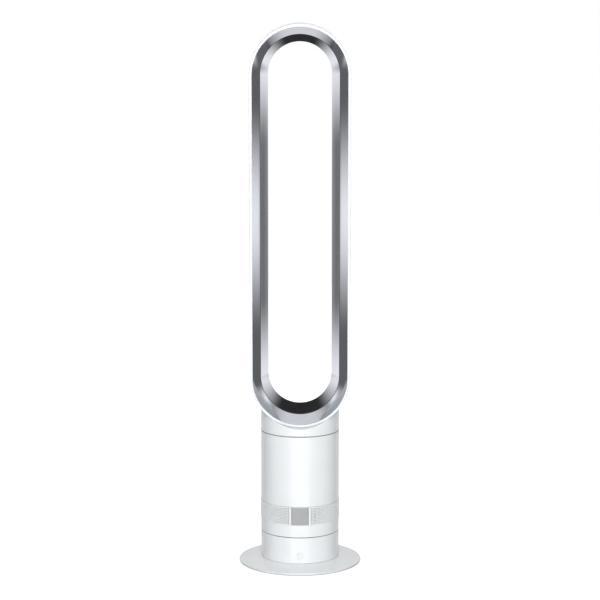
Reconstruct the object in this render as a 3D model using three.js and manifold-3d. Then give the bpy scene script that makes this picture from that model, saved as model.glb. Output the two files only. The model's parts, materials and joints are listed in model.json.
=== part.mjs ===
// A tall fan with no visible blades: a round column on a flat foot, carrying a racetrack-shaped
// air loop. An impeller in the column blows air up into the hollow loop, and a slot round the back
// of the opening lets it out over a metal ramp. The column turns on its base to sweep the air.
//
// Millimetres. +Z is up and the front faces -Y. The origin is on the floor, under the column's axis.

import * as THREE from 'three';
import Module from 'manifold-3d';
import { mergeVertices } from 'three/addons/utils/BufferGeometryUtils.js';

// ---------------------------------------------------------------- driving dimensions

const GAP = 0.3;               // clearance between two pieces that seat on each other

// Column and foot
const COLUMN_RADIUS = 73;
const SHELL_WALL = 2.5;
const FOOT_RADIUS = 114.3;
const FOOT_EDGE = 3.6;         // upright edge of the foot
const FOOT_CHAMFER = 0.9;
const FOOT_RISE = 6.85;        // climb of the foot's top from its edge to the column
const FOOT_SHOULDER = 2.5;     // flat ring of the foot outside the column
const FOOT_WALL = 2;
const BALLAST_MARGIN = 18;     // the ballast stays this far inside the foot's edge
const BALLAST_HOLE_RADIUS = 24;
const PAD_PROUD = 0.9;         // how far the rubber ring lifts the foot
const PAD_GROOVE = 0.7;
const PAD_INSET = 14.3;        // from the foot's edge to the middle of the rubber ring
const PAD_WIDTH = 7.4;

// Heights of the stack on the foot
const HOUSING_HEIGHT = 48.65;
const SWIVEL_GAP = 1.2;
const SKIRT_HEIGHT = 22.6;
const GRILLE_HEIGHT = 34.6;
const BODY_HEIGHT = 131.8;
const SEAL_HEIGHT = 1.0;
const SEAL_PROUD = 0.3;
const NECK_HEIGHT = 13.6;      // from the neck's lower edge to the loop's lowest point
const SPIGOT_DEPTH = 12;
const BAYONET_HEIGHT = 7.5;
const BAYONET_WIDTH = 4.2;

// Air loop
const LOOP_RADIUS = 92.4;
const LOOP_STRAIGHT = 555.9;   // between the centres of its round ends
const LOOP_DEPTH = 110;
const LOOP_WALL = 2.2;
const RIM_WIDTH = 4.65;        // white rim seen round the metal from the front
const RIM_THICKNESS = 4;
const RIM_ROUNDING = 1.5;
const TRIM_INSET = 0.6;        // the metal starts this far behind the rim's front
const CREASE_RADIUS = 72.45;   // where the front cone meets the ramp
const CREASE_DEPTH = 31;       // behind the front
const THROAT_RADIUS = 58.6;
const THROAT_DEPTH = 68.7;
const RING_WALL = 1.8;
const RING_FLANGE = 3.7;
const NOSE_RADIUS = 5.5;
const SLOT_WIDTH = 1.3;
const LIP_OFFSET = 2.8;        // the lip's face lies this far outside the throat
const BACK_CROWN = 19.4;       // from the throat out to the rearmost point of the back
const BACK_ROUNDING = 27;      // depth of the outer curve of the back
const RIB_SPACING = 110;
const RIB_WIDTH = 3;
const PASSAGE_WIDTH = 80;      // air passage from the neck into the loop
const PASSAGE_FRONT = 32;
const PASSAGE_BACK = 26;
const PASSAGE_HEADROOM = 1.9;  // between the passage's top and the metal above it
const DIVIDER_DROP = 1.85;     // the divider's top lies this far under the passage's top
const DIVIDER_WIDTH = 14;
const DIVIDER_HEIGHT = 22;

// Intake grille and display
const GRILLE_PROUD = 0.7;
const GRILLE_WALL = 2.4;
const GRILLE_RAIL = 3;
const GRILLE_ROWS = 2;
const GRILLE_COLUMNS = 24;
const GRILLE_RIB = 3;
const DISPLAY_WIDTH = 33;
const DISPLAY_BAR = 3.5;
const DISPLAY_RAIL = 0.8;
const BEZEL_DEPTH = 3;
const WINDOW_INSET = 0.1;
const BOARD_THICKNESS = 1.6;

// Power button and its switch
const BUTTON_RADIUS = 6;
const BUTTON_DROP = 9.5;       // from the deck's underside down to its centre
const BUTTON_CLEARANCE = 0.3;
const BUTTON_FLANGE = 1.2;
const BUTTON_FLANGE_THICKNESS = 1.5;
const BUTTON_STEM_RADIUS = 2.2;
const BUTTON_STEM = 5.6;
const BUTTON_TRAVEL = 1.0;
const SWITCH_SIZE = 6;
const SWITCH_BODY = 2.4;
const SWITCH_PLUNGER_RADIUS = 1.7;
const SWITCH_PLUNGER = 1.2;
const CONTROL_BOARD_WIDTH = 44;
const CONTROL_BOARD_MARGIN = 3.5; // between the board's top and the deck

// Cord gland at the back
const GLAND_HEIGHT = 24;
const GLAND_BORE_RADIUS = 3.2;
const GLAND_SLEEVE_RADIUS = 4.6;
const GLAND_FLANGE_RADIUS = 6.4;
const GLAND_FLANGE = 1.8;

// Swivel drive
const DRIVE_ROOM = 21.3;       // from the deck's top to the top of the lower housing
const DECK_THICKNESS = 3;
const SPINDLE_RADIUS = 14;
const SPINDLE_BORE_RADIUS = 10.5;
const BUSH_WALL = 2;
const RUNNING_GAP = 0.3;
const HUB_WALL = 3.2;
const HUB_RISE = 7;
const HUB_DROP = 7;
const GEAR_ROOM = 11;          // from the deck's top to the turntable's plate
const PLATE_THICKNESS = 3;
const THRUST_MARGIN = 1.25;    // between the deck's screws and the thrust ring
const THRUST_CLEARANCE = 2.4;  // between the pinion's teeth and the thrust ring
const THRUST_WIDTH = 4;
const THRUST_THICKNESS = 1.7;
const TURNTABLE_RIM = 5.6;     // its upper wall, which takes the skirt's screws
const TURNTABLE_MARGIN = 4;    // between the turntable's upper wall and the column's inner wall
const CLIP_THICKNESS = 1.4;
const CLIP_GROOVE = 1;
const CLIP_WIDTH = 7;
const CLIP_OPENING = 70;       // degrees
const SECTOR_TEETH_ROUND = 48; // teeth that a full sector gear would have
const SECTOR_TEETH_SIDE = 6;   // teeth on each side of the sector's middle one
const PINION_TEETH = 12;
const PRESSURE_ANGLE = 25;
const TOOTH_BACKLASH = 0.4;
const TOOTH_ADDENDUM = 0.9;    // in modules
const TOOTH_DEDENDUM = 1.15;
const SECTOR_THICKNESS = 6;
const PINION_THICKNESS = 6.6;
const SECTOR_RING = 5;
const OUTPUT_SHAFT_RADIUS = 2.5;
const SHAFT_SEAT = 2;          // depth of the output shaft in its motor
const SWIVEL_MOTOR_RADIUS = 15;
const SWIVEL_MOTOR_HEIGHT = 16;
const COLUMN_POST_RADIUS = 4.5;
const POST_BLEND = 0.5;        // how far the screw posts run into the housing's wall
const SCREW_RADIUS = 1.7;
const SCREW_HEAD_RADIUS = 3.5;
const SCREW_HEAD = 1.6;
const FOOT_SCREW_LENGTH = 20;
const DECK_SCREW_LENGTH = 12;
const SKIRT_SCREW_LENGTH = 9;
const SKIRT_SCREW_RADIUS = 1.1;
const SKIRT_SCREW_HEAD_RADIUS = 2.4;
const LEAD_RADIUS = 2.4;

// Column interior
const SKIRT_RECESS = 2.8;      // the skirt's floor lies this far above its lower edge
const SKIRT_FLOOR_HOLE = 22;
const POWER_BOARD_POST = 3.2;
const POWER_BOARD_POST_RADIUS = 3;
const POWER_BOARD_WIDTH = 76;
const POWER_BOARD_DEPTH = 56;
const POWER_BLOCK_HEIGHT = 5.5;
const TRANSFORMER_X = -15;
const TRANSFORMER_WIDTH = 23;
const TRANSFORMER_DEPTH = 28;
const CAPACITOR_X = 19;
const CAPACITOR_RADIUS = 8.4;
const INTAKE_FLOOR_DROP = 2.1;
const INTAKE_FLOOR_THICKNESS = 2;
const INTAKE_CONE_RADIUS = 26;
const INTAKE_CONE_HEIGHT = 14;
const LEDGE_WIDTH = 3.5;
const LEDGE_THICKNESS = 2;

// Impeller and motor
const BODY_LEDGE_HEIGHT = 4.2;
const BODY_LEDGE_WIDTH = 6.5;
const ISOLATION_THICKNESS = 3;
const SHROUD_WALL = 2;
const SHROUD_MOUTH = 52;
const SHROUD_EYE = 46;
const SHROUD_OUTLET = 56;
const SHROUD_LIP = 6;
const SHROUD_HEIGHT = 33;
const TIP_CLEARANCE = 1.2;
const IMPELLER_NOSE_RADIUS = 10;
const IMPELLER_START = 4;
const IMPELLER_WALL = 2;
const IMPELLER_BOSS_RADIUS = 7;
const BLADE_COUNT = 9;
const BLADE_THICKNESS = 1.6;
const BLADE_PITCH = 50;        // degrees from upright
const SHAFT_RADIUS = 2.5;
const SHAFT_OVERHANG = 3;
const BUCKET_RADIUS = 29;
const BUCKET_WALL = 2;
const BUCKET_FLOOR = 2;
const DIFFUSER_HEIGHT = 40;
const VANE_COUNT = 11;
const VANE_THICKNESS = 1.6;
const VANE_PITCH = 20;
const VANE_MARGIN = 5;
const BEARING_RADIUS = 6.5;
const BEARING_HEIGHT = 4.7;
const BEARING_SEAT_WALL = 2.5;
const ROTOR_RADIUS = 13.2;
const ROTOR_HEIGHT = 18;
const ROTOR_CLEARANCE = 2;     // above the lower bearing
const AIR_GAP = 0.8;
const STATOR_YOKE = 3;
const STATOR_POLES = 6;
const STATOR_POLE_WIDTH = 7;
const END_CAP_THICKNESS = 2.5;
const MOTOR_COVER_HEIGHT = 32;
const MOTOR_COVER_WALL = 1.8;
const MOTOR_COVER_TIP = 7;
const FOAM_CLEARANCE = 0.6;
const DUCT_DROP = 2.2;         // from the bayonet ring down to the duct's top
const DUCT_INSET = 3;          // from the bayonet ring's bore in to the duct's top
const DUCT_WALL = 1.8;

// Facets
const OUTER_SIDES = 40;
const INNER_SIDES = 20;
const SMALL_SIDES = 10;
const LOOP_STEPS = 36;
const GRILLE_STEPS = 36;
const CLIP_STEPS = 12;
const BEZEL_STEPS = 6;
const WINDOW_STEPS = 4;
const OVERLAP = 1;             // joined forms run this far into each other, cutters past a face
const REACH = 400;             // longer than anything that a cutter goes through

// ---------------------------------------------------------------- places worked out from them

const columnInner = COLUMN_RADIUS - SHELL_WALL;
const columnFit = columnInner - GAP;
const postCircle = columnInner - COLUMN_POST_RADIUS + POST_BLEND;
const footBottom = PAD_PROUD;
const footEdgeTop = footBottom + FOOT_EDGE;
const footTop = footEdgeTop + FOOT_RISE;
const coverTop = footEdgeTop - FOOT_WALL - GAP;
const ballastBottom = coverTop + GAP;
const padRadius = FOOT_RADIUS - PAD_INSET;
const housingBottom = footTop + GAP;
const housingFloor = housingBottom + SHELL_WALL;
const housingTop = housingBottom + HOUSING_HEIGHT;
const deckTop = housingTop - DRIVE_ROOM;
const deckBottom = deckTop - DECK_THICKNESS;
const postTop = deckBottom - GAP;
const skirtBottom = housingTop + SWIVEL_GAP;
const skirtFloor = skirtBottom + SKIRT_RECESS;
const skirtFloorTop = skirtFloor + SHELL_WALL;
const skirtTop = skirtBottom + SKIRT_HEIGHT;
const grilleBottom = skirtTop + GAP;
const grilleTop = grilleBottom + GRILLE_HEIGHT;
const bodyBottom = grilleTop + GAP;
const bodyTop = bodyBottom + BODY_HEIGHT;
const sealBottom = bodyTop + GAP;
const sealTop = sealBottom + SEAL_HEIGHT;
const neckBottom = sealTop + GAP;
const spigotBottom = neckBottom - SPIGOT_DEPTH;
const loopBottom = neckBottom + NECK_HEIGHT;
const lowCentre = loopBottom + LOOP_RADIUS;
const highCentre = lowCentre + LOOP_STRAIGHT;
const loopFront = -LOOP_DEPTH / 2;
const loopBack = LOOP_DEPTH / 2;
const creaseY = loopFront + CREASE_DEPTH;
const throatY = loopFront + THROAT_DEPTH;
const noseRadius = THROAT_RADIUS + NOSE_RADIUS;
const metalRadius = CREASE_RADIUS + RING_FLANGE + RING_WALL;
const passageTop = lowCentre - metalRadius - PASSAGE_HEADROOM;

const hubBore = SPINDLE_RADIUS + BUSH_WALL + 2 * RUNNING_GAP;
const hubRadius = hubBore + HUB_WALL;
const plateBottom = deckTop + GEAR_ROOM;
const plateTop = plateBottom + PLATE_THICKNESS;
const hubTop = plateTop + HUB_RISE;
const hubBottom = plateBottom - HUB_DROP;
const clipBottom = hubTop + 2 * GAP;
const clipTop = clipBottom + CLIP_THICKNESS;
const spindleTop = clipTop + GAP + CLIP_THICKNESS;
const thrustOuter = postCircle - SCREW_HEAD_RADIUS - THRUST_MARGIN;
const thrustInner = thrustOuter - THRUST_WIDTH;
const driveReach = SECTOR_TEETH_ROUND / 2 + PINION_TEETH + TOOTH_ADDENDUM;
const gearModule = (thrustInner - THRUST_CLEARANCE) / driveReach;
const driveOffset = gearModule * (SECTOR_TEETH_ROUND + PINION_TEETH) / 2;
const gearTop = plateBottom - GAP;
const thrustTop = deckTop + GAP + THRUST_THICKNESS;
const turntableWall = columnInner - TURNTABLE_MARGIN;

const powerBoardBottom = skirtFloorTop + POWER_BOARD_POST + GAP;
const powerBoardTop = powerBoardBottom + BOARD_THICKNESS;
const intakeFloorTop = skirtTop - INTAKE_FLOOR_DROP;
const intakeFloorBottom = intakeFloorTop - INTAKE_FLOOR_THICKNESS;
const grilleRadius = COLUMN_RADIUS + GRILLE_PROUD;
const bezelHalf = DISPLAY_WIDTH / 2 + DISPLAY_BAR;
const bezelAngle = Math.asin(bezelHalf / grilleRadius);
const windowAngle = Math.asin(DISPLAY_WIDTH / 2 / grilleRadius);
const FRONT = -Math.PI / 2;

const isolationBottom = bodyBottom + BODY_LEDGE_HEIGHT + GAP;
const shroudBottom = isolationBottom + ISOLATION_THICKNESS + GAP;
const shroudTop = shroudBottom + SHROUD_HEIGHT;
const impellerBottom = shroudBottom + IMPELLER_START;
const impellerTop = shroudTop - TIP_CLEARANCE;
const diffuserBottom = shroudTop + GAP;
const diffuserTop = diffuserBottom + DIFFUSER_HEIGHT;
const bucketFloorTop = diffuserBottom + TIP_CLEARANCE + BUCKET_FLOOR;
const bucketFit = BUCKET_RADIUS - BUCKET_WALL - GAP;
const lowerBearingBottom = bucketFloorTop + GAP;
const lowerBearingTop = lowerBearingBottom + BEARING_HEIGHT;
const rotorBottom = lowerBearingTop + ROTOR_CLEARANCE;
const rotorTop = rotorBottom + ROTOR_HEIGHT;
const endCapBottom = rotorTop + GAP;
const endCapTop = endCapBottom + END_CAP_THICKNESS;
const upperBearingTop = endCapTop + BEARING_HEIGHT;
const shaftBottom = impellerBottom - SHAFT_OVERHANG;
const bayonetTop = spigotBottom - GAP;

const buttonHeight = deckBottom - BUTTON_DROP;
const buttonBack = -(columnInner - BUTTON_FLANGE);
const stemEnd = buttonBack + BUTTON_FLANGE_THICKNESS + BUTTON_STEM;
const switchFace = stemEnd + BUTTON_TRAVEL + GAP;
const controlBoardFront = switchFace + SWITCH_PLUNGER + SWITCH_BODY + GAP;

// ---------------------------------------------------------------- finishes

function finish(color, roughness, metalness) {
  return new THREE.MeshStandardMaterial({ color, roughness, metalness });
}

const FINISH = {
  white: finish(0xeef1f3, 0.3, 0),
  innerWhite: finish(0xdfe3e6, 0.6, 0),
  nickel: finish(0x9da0a6, 0.25, 1),
  window: finish(0x8e9194, 0.2, 0),
  seal: finish(0x9a9ea1, 0.7, 0),
  rubber: finish(0x2b2c2e, 0.9, 0),
  steel: finish(0xa5a8ab, 0.35, 1),
  acetal: finish(0xe8e6dc, 0.5, 0),
  board: finish(0x1f5d3a, 0.6, 0),
  black: finish(0x26272a, 0.5, 0),
  grey: finish(0x74787c, 0.5, 0),
  foam: finish(0x3b3d40, 0.95, 0),
};

// ---------------------------------------------------------------- solids: joining and cutting

const wasm = await Module();
wasm.setup();

function toSolid(geometry) {
  const bare = geometry.clone();
  bare.deleteAttribute('normal');
  bare.deleteAttribute('uv');
  const merged = mergeVertices(bare, 1e-4);
  const triangles = [];
  for (let i = 0; i < merged.index.count; i += 3) {
    const corners = [0, 1, 2].map((k) => merged.index.getX(i + k));
    if (new Set(corners).size === 3) triangles.push(...corners);
  }
  const vertProperties = Float32Array.from(merged.attributes.position.array);
  faceOutwards(vertProperties, triangles);
  const triVerts = Uint32Array.from(triangles);
  return new wasm.Manifold(new wasm.Mesh({ numProp: 3, vertProperties, triVerts }));
}

// Turns every triangle over when the closed mesh holds a negative volume.
function faceOutwards(positions, triangles) {
  const corner = (i) => new THREE.Vector3().fromArray(positions, 3 * triangles[i]);
  let volume = 0;
  for (let i = 0; i < triangles.length; i += 3) {
    volume += corner(i).dot(corner(i + 1).cross(corner(i + 2)));
  }
  if (volume > 0) return;
  for (let i = 0; i < triangles.length; i += 3) {
    [triangles[i], triangles[i + 1]] = [triangles[i + 1], triangles[i]];
  }
}

function toGeometry(solid) {
  const mesh = solid.getMesh();
  const geometry = new THREE.BufferGeometry();
  geometry.setAttribute('position', new THREE.BufferAttribute(mesh.vertProperties, 3));
  geometry.setIndex(new THREE.BufferAttribute(mesh.triVerts, 1));
  geometry.computeVertexNormals();
  return geometry;
}

function join(solids) {
  return solids.reduce((sum, solid) => sum.add(solid));
}

// ---------------------------------------------------------------- solids: basic forms

// A profile of [radius, height] points turned about Z. It starts and ends on the axis, or is closed.
function turned(profile, sides) {
  const points = profile.map(([r, z]) => new THREE.Vector2(r, z));
  const solidCentre = profile[0][0] === 0 && profile[profile.length - 1][0] === 0;
  if (!solidCentre) points.push(points[0].clone());
  const geometry = new THREE.LatheGeometry(points, sides);
  geometry.rotateX(Math.PI / 2);
  return toSolid(geometry);
}

function tube(inner, outer, bottom, top, sides) {
  return turned([[inner, bottom], [outer, bottom], [outer, top], [inner, top]], sides);
}

function rod(radius, bottom, top, sides) {
  return turned([[0, bottom], [radius, bottom], [radius, top], [0, top]], sides);
}

// Lays a solid made along Z down along +Y, at a height.
function alongY(solid, height) {
  return solid.rotate([-90, 0, 0]).translate([0, 0, height]);
}

function block(low, high) {
  const size = high.map((value, axis) => value - low[axis]);
  const geometry = new THREE.BoxGeometry(...size);
  geometry.translate(...high.map((value, axis) => (value + low[axis]) / 2));
  return toSolid(geometry);
}

function extruded(shape, bottom, top, curveSegments = 12) {
  const settings = { depth: top - bottom, bevelEnabled: false, curveSegments };
  const geometry = new THREE.ExtrudeGeometry(shape, settings);
  geometry.translate(0, 0, bottom);
  return toSolid(geometry);
}

// A piece of a round wall between two angles.
function arcWall(inner, outer, start, end, bottom, top, segments) {
  const shape = new THREE.Shape();
  shape.absarc(0, 0, outer, start, end, false);
  shape.absarc(0, 0, inner, end, start, true);
  return extruded(shape, bottom, top, segments);
}

// A profile of [radius, depth] points carried round the racetrack. It is a lathe about the depth
// axis with two more steps than its round ends need, and those two are the straight sides.
function racetrack(profile, steps = LOOP_STEPS) {
  const closed = [...profile, profile[0]].map(([r, y]) => new THREE.Vector2(r, y));
  const geometry = new THREE.LatheGeometry(closed, steps + 2);
  const position = geometry.attributes.position;
  for (let column = 0; column <= steps + 2; column += 1) {
    const place = column % (steps + 2);
    const upper = place > steps / 2;
    const angle = -2 * Math.PI * (upper ? place - 1 : place) / steps;
    const centre = upper ? highCentre : lowCentre;
    closed.forEach(({ x: radius, y: depth }, row) => {
      const x = radius * Math.cos(angle);
      const z = centre + radius * Math.sin(angle);
      position.setXYZ(column * closed.length + row, x, depth, z);
    });
  }
  return toSolid(geometry);
}

// A round bar along Y, about the centre of the loop's lower end.
function loopPrism(radius, front, back) {
  return alongY(rod(radius, front, back, LOOP_STEPS), lowCentre);
}

// Distance from the axis to the flats of a faceted round wall.
function flats(radius, sides) {
  return radius * Math.cos(Math.PI / sides);
}

function atAngle(radius, angle) {
  return [radius * Math.cos(angle), radius * Math.sin(angle), 0];
}

function screw(shankRadius, headRadius, length) {
  const tip = 0.6 * shankRadius;
  const rim = 0.6 * SCREW_HEAD;
  const crown = 0.7 * headRadius;
  return turned([
    [0, -length], [tip, -length], [shankRadius, -length + shankRadius], [shankRadius, 0],
    [headRadius, 0], [headRadius, rim], [crown, SCREW_HEAD], [0, SCREW_HEAD],
  ], SMALL_SIDES);
}

// ---------------------------------------------------------------- scene graph

const fan = new THREE.Group();
const base = new THREE.Group();
const tower = new THREE.Group();
const drive = new THREE.Group();
const blower = new THREE.Group();
drive.position.set(0, driveOffset, 0);
fan.add(base, tower);
base.add(drive);
tower.add(blower);

function add(group, name, solid, material, place = [0, 0, 0]) {
  const mesh = new THREE.Mesh(toGeometry(solid), material);
  mesh.name = name;
  mesh.position.set(...place);
  group.add(mesh);
}

// ---------------------------------------------------------------- foot

const shoulderRadius = COLUMN_RADIUS + FOOT_SHOULDER;
const footSlope = FOOT_RISE / (FOOT_RADIUS - FOOT_CHAMFER - shoulderRadius);
const screwAngles = [1, 3, 5, 7].map((quarter) => quarter * Math.PI / 4);

// Height of the foot's underside at a radius, on its sloping part.
function footUnderside(radius) {
  const top = footTop - footSlope * Math.max(0, radius - shoulderRadius);
  return top - FOOT_WALL;
}

function holesThrough(solid, radius, places) {
  const drill = rod(radius, -REACH, REACH, SMALL_SIDES);
  return places.reduce((body, place) => body.subtract(drill.translate(place)), solid);
}

const screwPlaces = screwAngles.map((angle) => atAngle(postCircle, angle));

function makeFootDisc() {
  const skin = FOOT_RADIUS - FOOT_WALL;
  const disc = turned([
    [0, footTop - FOOT_WALL], [shoulderRadius, footTop - FOOT_WALL],
    [skin, footEdgeTop - FOOT_WALL], [skin, footBottom], [FOOT_RADIUS, footBottom],
    [FOOT_RADIUS, footEdgeTop - FOOT_CHAMFER], [FOOT_RADIUS - FOOT_CHAMFER, footEdgeTop],
    [shoulderRadius, footTop], [0, footTop],
  ], OUTER_SIDES);
  return holesThrough(disc, SCREW_RADIUS + GAP, screwPlaces);
}

function makeFootCover() {
  const radius = flats(FOOT_RADIUS - FOOT_WALL, OUTER_SIDES) - GAP;
  const grooveTop = footBottom + PAD_GROOVE;
  const cover = rod(radius, footBottom, coverTop, INNER_SIDES);
  const halfGroove = PAD_WIDTH / 2 + GAP;
  const groove = tube(padRadius - halfGroove, padRadius + halfGroove, 0, grooveTop, INNER_SIDES);
  return holesThrough(cover.subtract(groove), SCREW_HEAD_RADIUS + GAP, screwPlaces);
}

function makeBallast() {
  const rim = FOOT_RADIUS - BALLAST_MARGIN;
  const ballast = turned([
    [BALLAST_HOLE_RADIUS, ballastBottom], [rim, ballastBottom], [rim, footUnderside(rim) - 2 * GAP],
    [shoulderRadius, footUnderside(shoulderRadius) - GAP],
    [BALLAST_HOLE_RADIUS, footUnderside(shoulderRadius) - GAP],
  ], INNER_SIDES);
  return holesThrough(ballast, SCREW_RADIUS + GAP, screwPlaces);
}

const padTop = footBottom + PAD_GROOVE - GAP;
const padInner = padRadius - PAD_WIDTH / 2;
const padOuter = padRadius + PAD_WIDTH / 2;
add(base, 'foot_pad_ring', tube(padInner, padOuter, 0, padTop, INNER_SIDES), FINISH.rubber);
add(base, 'foot_cover', makeFootCover(), FINISH.innerWhite);
add(base, 'ballast_plate', makeBallast(), FINISH.steel);
add(base, 'foot_disc', makeFootDisc(), FINISH.white);

const footScrew = screw(SCREW_RADIUS, SCREW_HEAD_RADIUS, FOOT_SCREW_LENGTH).rotate([180, 0, 0]);
screwPlaces.forEach(([x, y], index) => {
  add(base, `foot_screw_${index + 1}`, footScrew, FINISH.steel, [x, y, ballastBottom - GAP]);
});

// ---------------------------------------------------------------- lower housing

function makeLowerHousing() {
  const cup = turned([
    [0, housingBottom], [COLUMN_RADIUS, housingBottom], [COLUMN_RADIUS, housingTop],
    [columnInner, housingTop], [columnInner, housingFloor], [0, housingFloor],
  ], OUTER_SIDES);
  const post = rod(COLUMN_POST_RADIUS, housingBottom + OVERLAP, postTop, SMALL_SIDES);
  const posts = screwPlaces.map((place) => post.translate(place));
  const lowHole = rod(SCREW_RADIUS + GAP, 0, ballastBottom + FOOT_SCREW_LENGTH + GAP, SMALL_SIDES);
  const highHole = rod(SCREW_RADIUS + GAP, postTop - DECK_SCREW_LENGTH, REACH, SMALL_SIDES);
  const holes = screwPlaces.flatMap((place) => [lowHole.translate(place), highHole.translate(place)]);
  const buttonHole = rod(BUTTON_RADIUS + BUTTON_CLEARANCE, -REACH, 0, 2 * SMALL_SIDES);
  const glandHole = rod(GLAND_SLEEVE_RADIUS + GAP, 0, REACH, 2 * SMALL_SIDES);
  return join([cup, ...posts])
    .subtract(join(holes))
    .subtract(alongY(buttonHole, buttonHeight))
    .subtract(alongY(glandHole, GLAND_HEIGHT));
}

add(base, 'lower_housing', makeLowerHousing(), FINISH.white);

// The gland's bore is empty. Its two flanges grip the housing's wall.
function makeCordGland() {
  const outside = COLUMN_RADIUS + GAP;
  const inside = Math.sqrt(columnInner ** 2 - GLAND_FLANGE_RADIUS ** 2) - GAP;
  return turned([
    [GLAND_BORE_RADIUS, inside - GLAND_FLANGE], [GLAND_FLANGE_RADIUS, inside - GLAND_FLANGE],
    [GLAND_FLANGE_RADIUS, inside], [GLAND_SLEEVE_RADIUS, inside], [GLAND_SLEEVE_RADIUS, outside],
    [GLAND_FLANGE_RADIUS, outside], [GLAND_SLEEVE_RADIUS, outside + GLAND_FLANGE],
    [GLAND_BORE_RADIUS, outside + GLAND_FLANGE],
  ], 2 * SMALL_SIDES);
}

add(base, 'cord_gland', alongY(makeCordGland(), GLAND_HEIGHT), FINISH.grey);

// The button's face follows the column's round wall. Its flange stops it from falling out.
function makePowerButton() {
  const cap = alongY(rod(BUTTON_RADIUS, -REACH, buttonBack, 2 * SMALL_SIDES), buttonHeight);
  const column = rod(COLUMN_RADIUS, 0, REACH, OUTER_SIDES);
  const flange = rod(
    BUTTON_RADIUS + BUTTON_FLANGE, buttonBack, buttonBack + BUTTON_FLANGE_THICKNESS, 2 * SMALL_SIDES,
  );
  const stem = rod(BUTTON_STEM_RADIUS, buttonBack + OVERLAP, stemEnd, SMALL_SIDES);
  const rear = alongY(flange.add(stem), buttonHeight);
  return cap.intersect(column).add(rear);
}

function makeControlBoard() {
  const half = CONTROL_BOARD_WIDTH / 2;
  const back = controlBoardFront + BOARD_THICKNESS;
  const top = deckBottom - CONTROL_BOARD_MARGIN;
  return block([-half, controlBoardFront, housingFloor + GAP], [half, back, top]);
}

function makeTactSwitch() {
  const half = SWITCH_SIZE / 2;
  const bodyFront = controlBoardFront - GAP - SWITCH_BODY;
  const body = block(
    [-half, bodyFront, buttonHeight - half],
    [half, bodyFront + SWITCH_BODY, buttonHeight + half],
  );
  const plunger = rod(SWITCH_PLUNGER_RADIUS, switchFace, bodyFront + OVERLAP, SMALL_SIDES);
  return body.add(alongY(plunger, buttonHeight));
}

add(base, 'power_button', makePowerButton(), FINISH.white);
add(base, 'control_board', makeControlBoard(), FINISH.board);
add(base, 'tact_switch', makeTactSwitch(), FINISH.black);

// ---------------------------------------------------------------- swivel deck and its motor

// The deck carries the hollow spindle that the column turns on.
function makePivotDeck() {
  const clipGroove = SPINDLE_RADIUS - CLIP_GROOVE;
  const deck = turned([
    [SPINDLE_BORE_RADIUS, deckBottom], [columnFit, deckBottom], [columnFit, deckTop],
    [SPINDLE_RADIUS, deckTop], [SPINDLE_RADIUS, clipBottom - GAP], [clipGroove, clipBottom - GAP],
    [clipGroove, clipTop + GAP], [SPINDLE_RADIUS, clipTop + GAP], [SPINDLE_RADIUS, spindleTop],
    [SPINDLE_BORE_RADIUS, spindleTop],
  ], INNER_SIDES);
  const drilled = holesThrough(deck, SCREW_RADIUS + GAP, screwPlaces);
  return holesThrough(drilled, OUTPUT_SHAFT_RADIUS + 2 * GAP, [[0, driveOffset, 0]]);
}

function makeSpindleClip() {
  const half = CLIP_OPENING / 2 * Math.PI / 180;
  const inner = SPINDLE_RADIUS - CLIP_GROOVE + GAP;
  const outer = SPINDLE_RADIUS + CLIP_WIDTH;
  return arcWall(inner, outer, half, 2 * Math.PI - half, clipBottom, clipTop, CLIP_STEPS);
}

function makeSwivelMotor() {
  const top = deckBottom - GAP;
  const can = rod(SWIVEL_MOTOR_RADIUS, top - SWIVEL_MOTOR_HEIGHT, top, INNER_SIDES);
  const bore = rod(OUTPUT_SHAFT_RADIUS + GAP, top - SHAFT_SEAT, REACH, SMALL_SIDES);
  return can.translate([0, driveOffset, 0]).subtract(bore.translate([0, driveOffset, 0]));
}

// The lead runs from the control board to the axis and up the hollow spindle.
function makeSpindleLead() {
  const start = new THREE.Vector3(0, controlBoardFront + BOARD_THICKNESS + GAP, buttonHeight);
  const end = new THREE.Vector3(0, 0, powerBoardBottom - GAP);
  const route = new THREE.CatmullRomCurve3([
    start,
    new THREE.Vector3(0, 0.75 * start.y, start.z),
    new THREE.Vector3(0, 0.25 * start.y, start.z + 1),
    new THREE.Vector3(0, 0, deckTop),
    end,
  ], false, 'catmullrom', 0.3);
  const section = new THREE.Shape();
  section.absarc(0, 0, LEAD_RADIUS, 0, 2 * Math.PI, false);
  const settings = { steps: 14, extrudePath: route, bevelEnabled: false, curveSegments: 4 };
  return toSolid(new THREE.ExtrudeGeometry(section, settings));
}

const thrustRing = tube(thrustInner, thrustOuter, deckTop + GAP, thrustTop, INNER_SIDES);
const deckScrew = screw(SCREW_RADIUS, SCREW_HEAD_RADIUS, DECK_SCREW_LENGTH);
add(base, 'pivot_deck', makePivotDeck(), FINISH.black);
[screwPlaces[0], screwPlaces[2]].forEach(([x, y], index) => {
  add(base, `deck_screw_${index + 1}`, deckScrew, FINISH.steel, [x, y, deckTop + GAP]);
});
add(base, 'thrust_ring', thrustRing, FINISH.acetal);
add(base, 'spindle_clip', makeSpindleClip(), FINISH.steel);
add(base, 'swivel_motor', makeSwivelMotor(), FINISH.steel);
add(base, 'spindle_lead', makeSpindleLead(), FINISH.black);

// ---------------------------------------------------------------- gears

// Half the angle that an involute tooth takes up at a radius.
function toothHalfAngle(radius, pitchRadius, teeth) {
  const involute = (angle) => Math.tan(angle) - angle;
  const pressure = PRESSURE_ANGLE * Math.PI / 180;
  const baseRadius = pitchRadius * Math.cos(pressure);
  const local = Math.acos(Math.min(1, baseRadius / radius));
  const half = Math.PI / (2 * teeth) - TOOTH_BACKLASH / (2 * pitchRadius);
  return half + involute(pressure) - involute(local);
}

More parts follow.
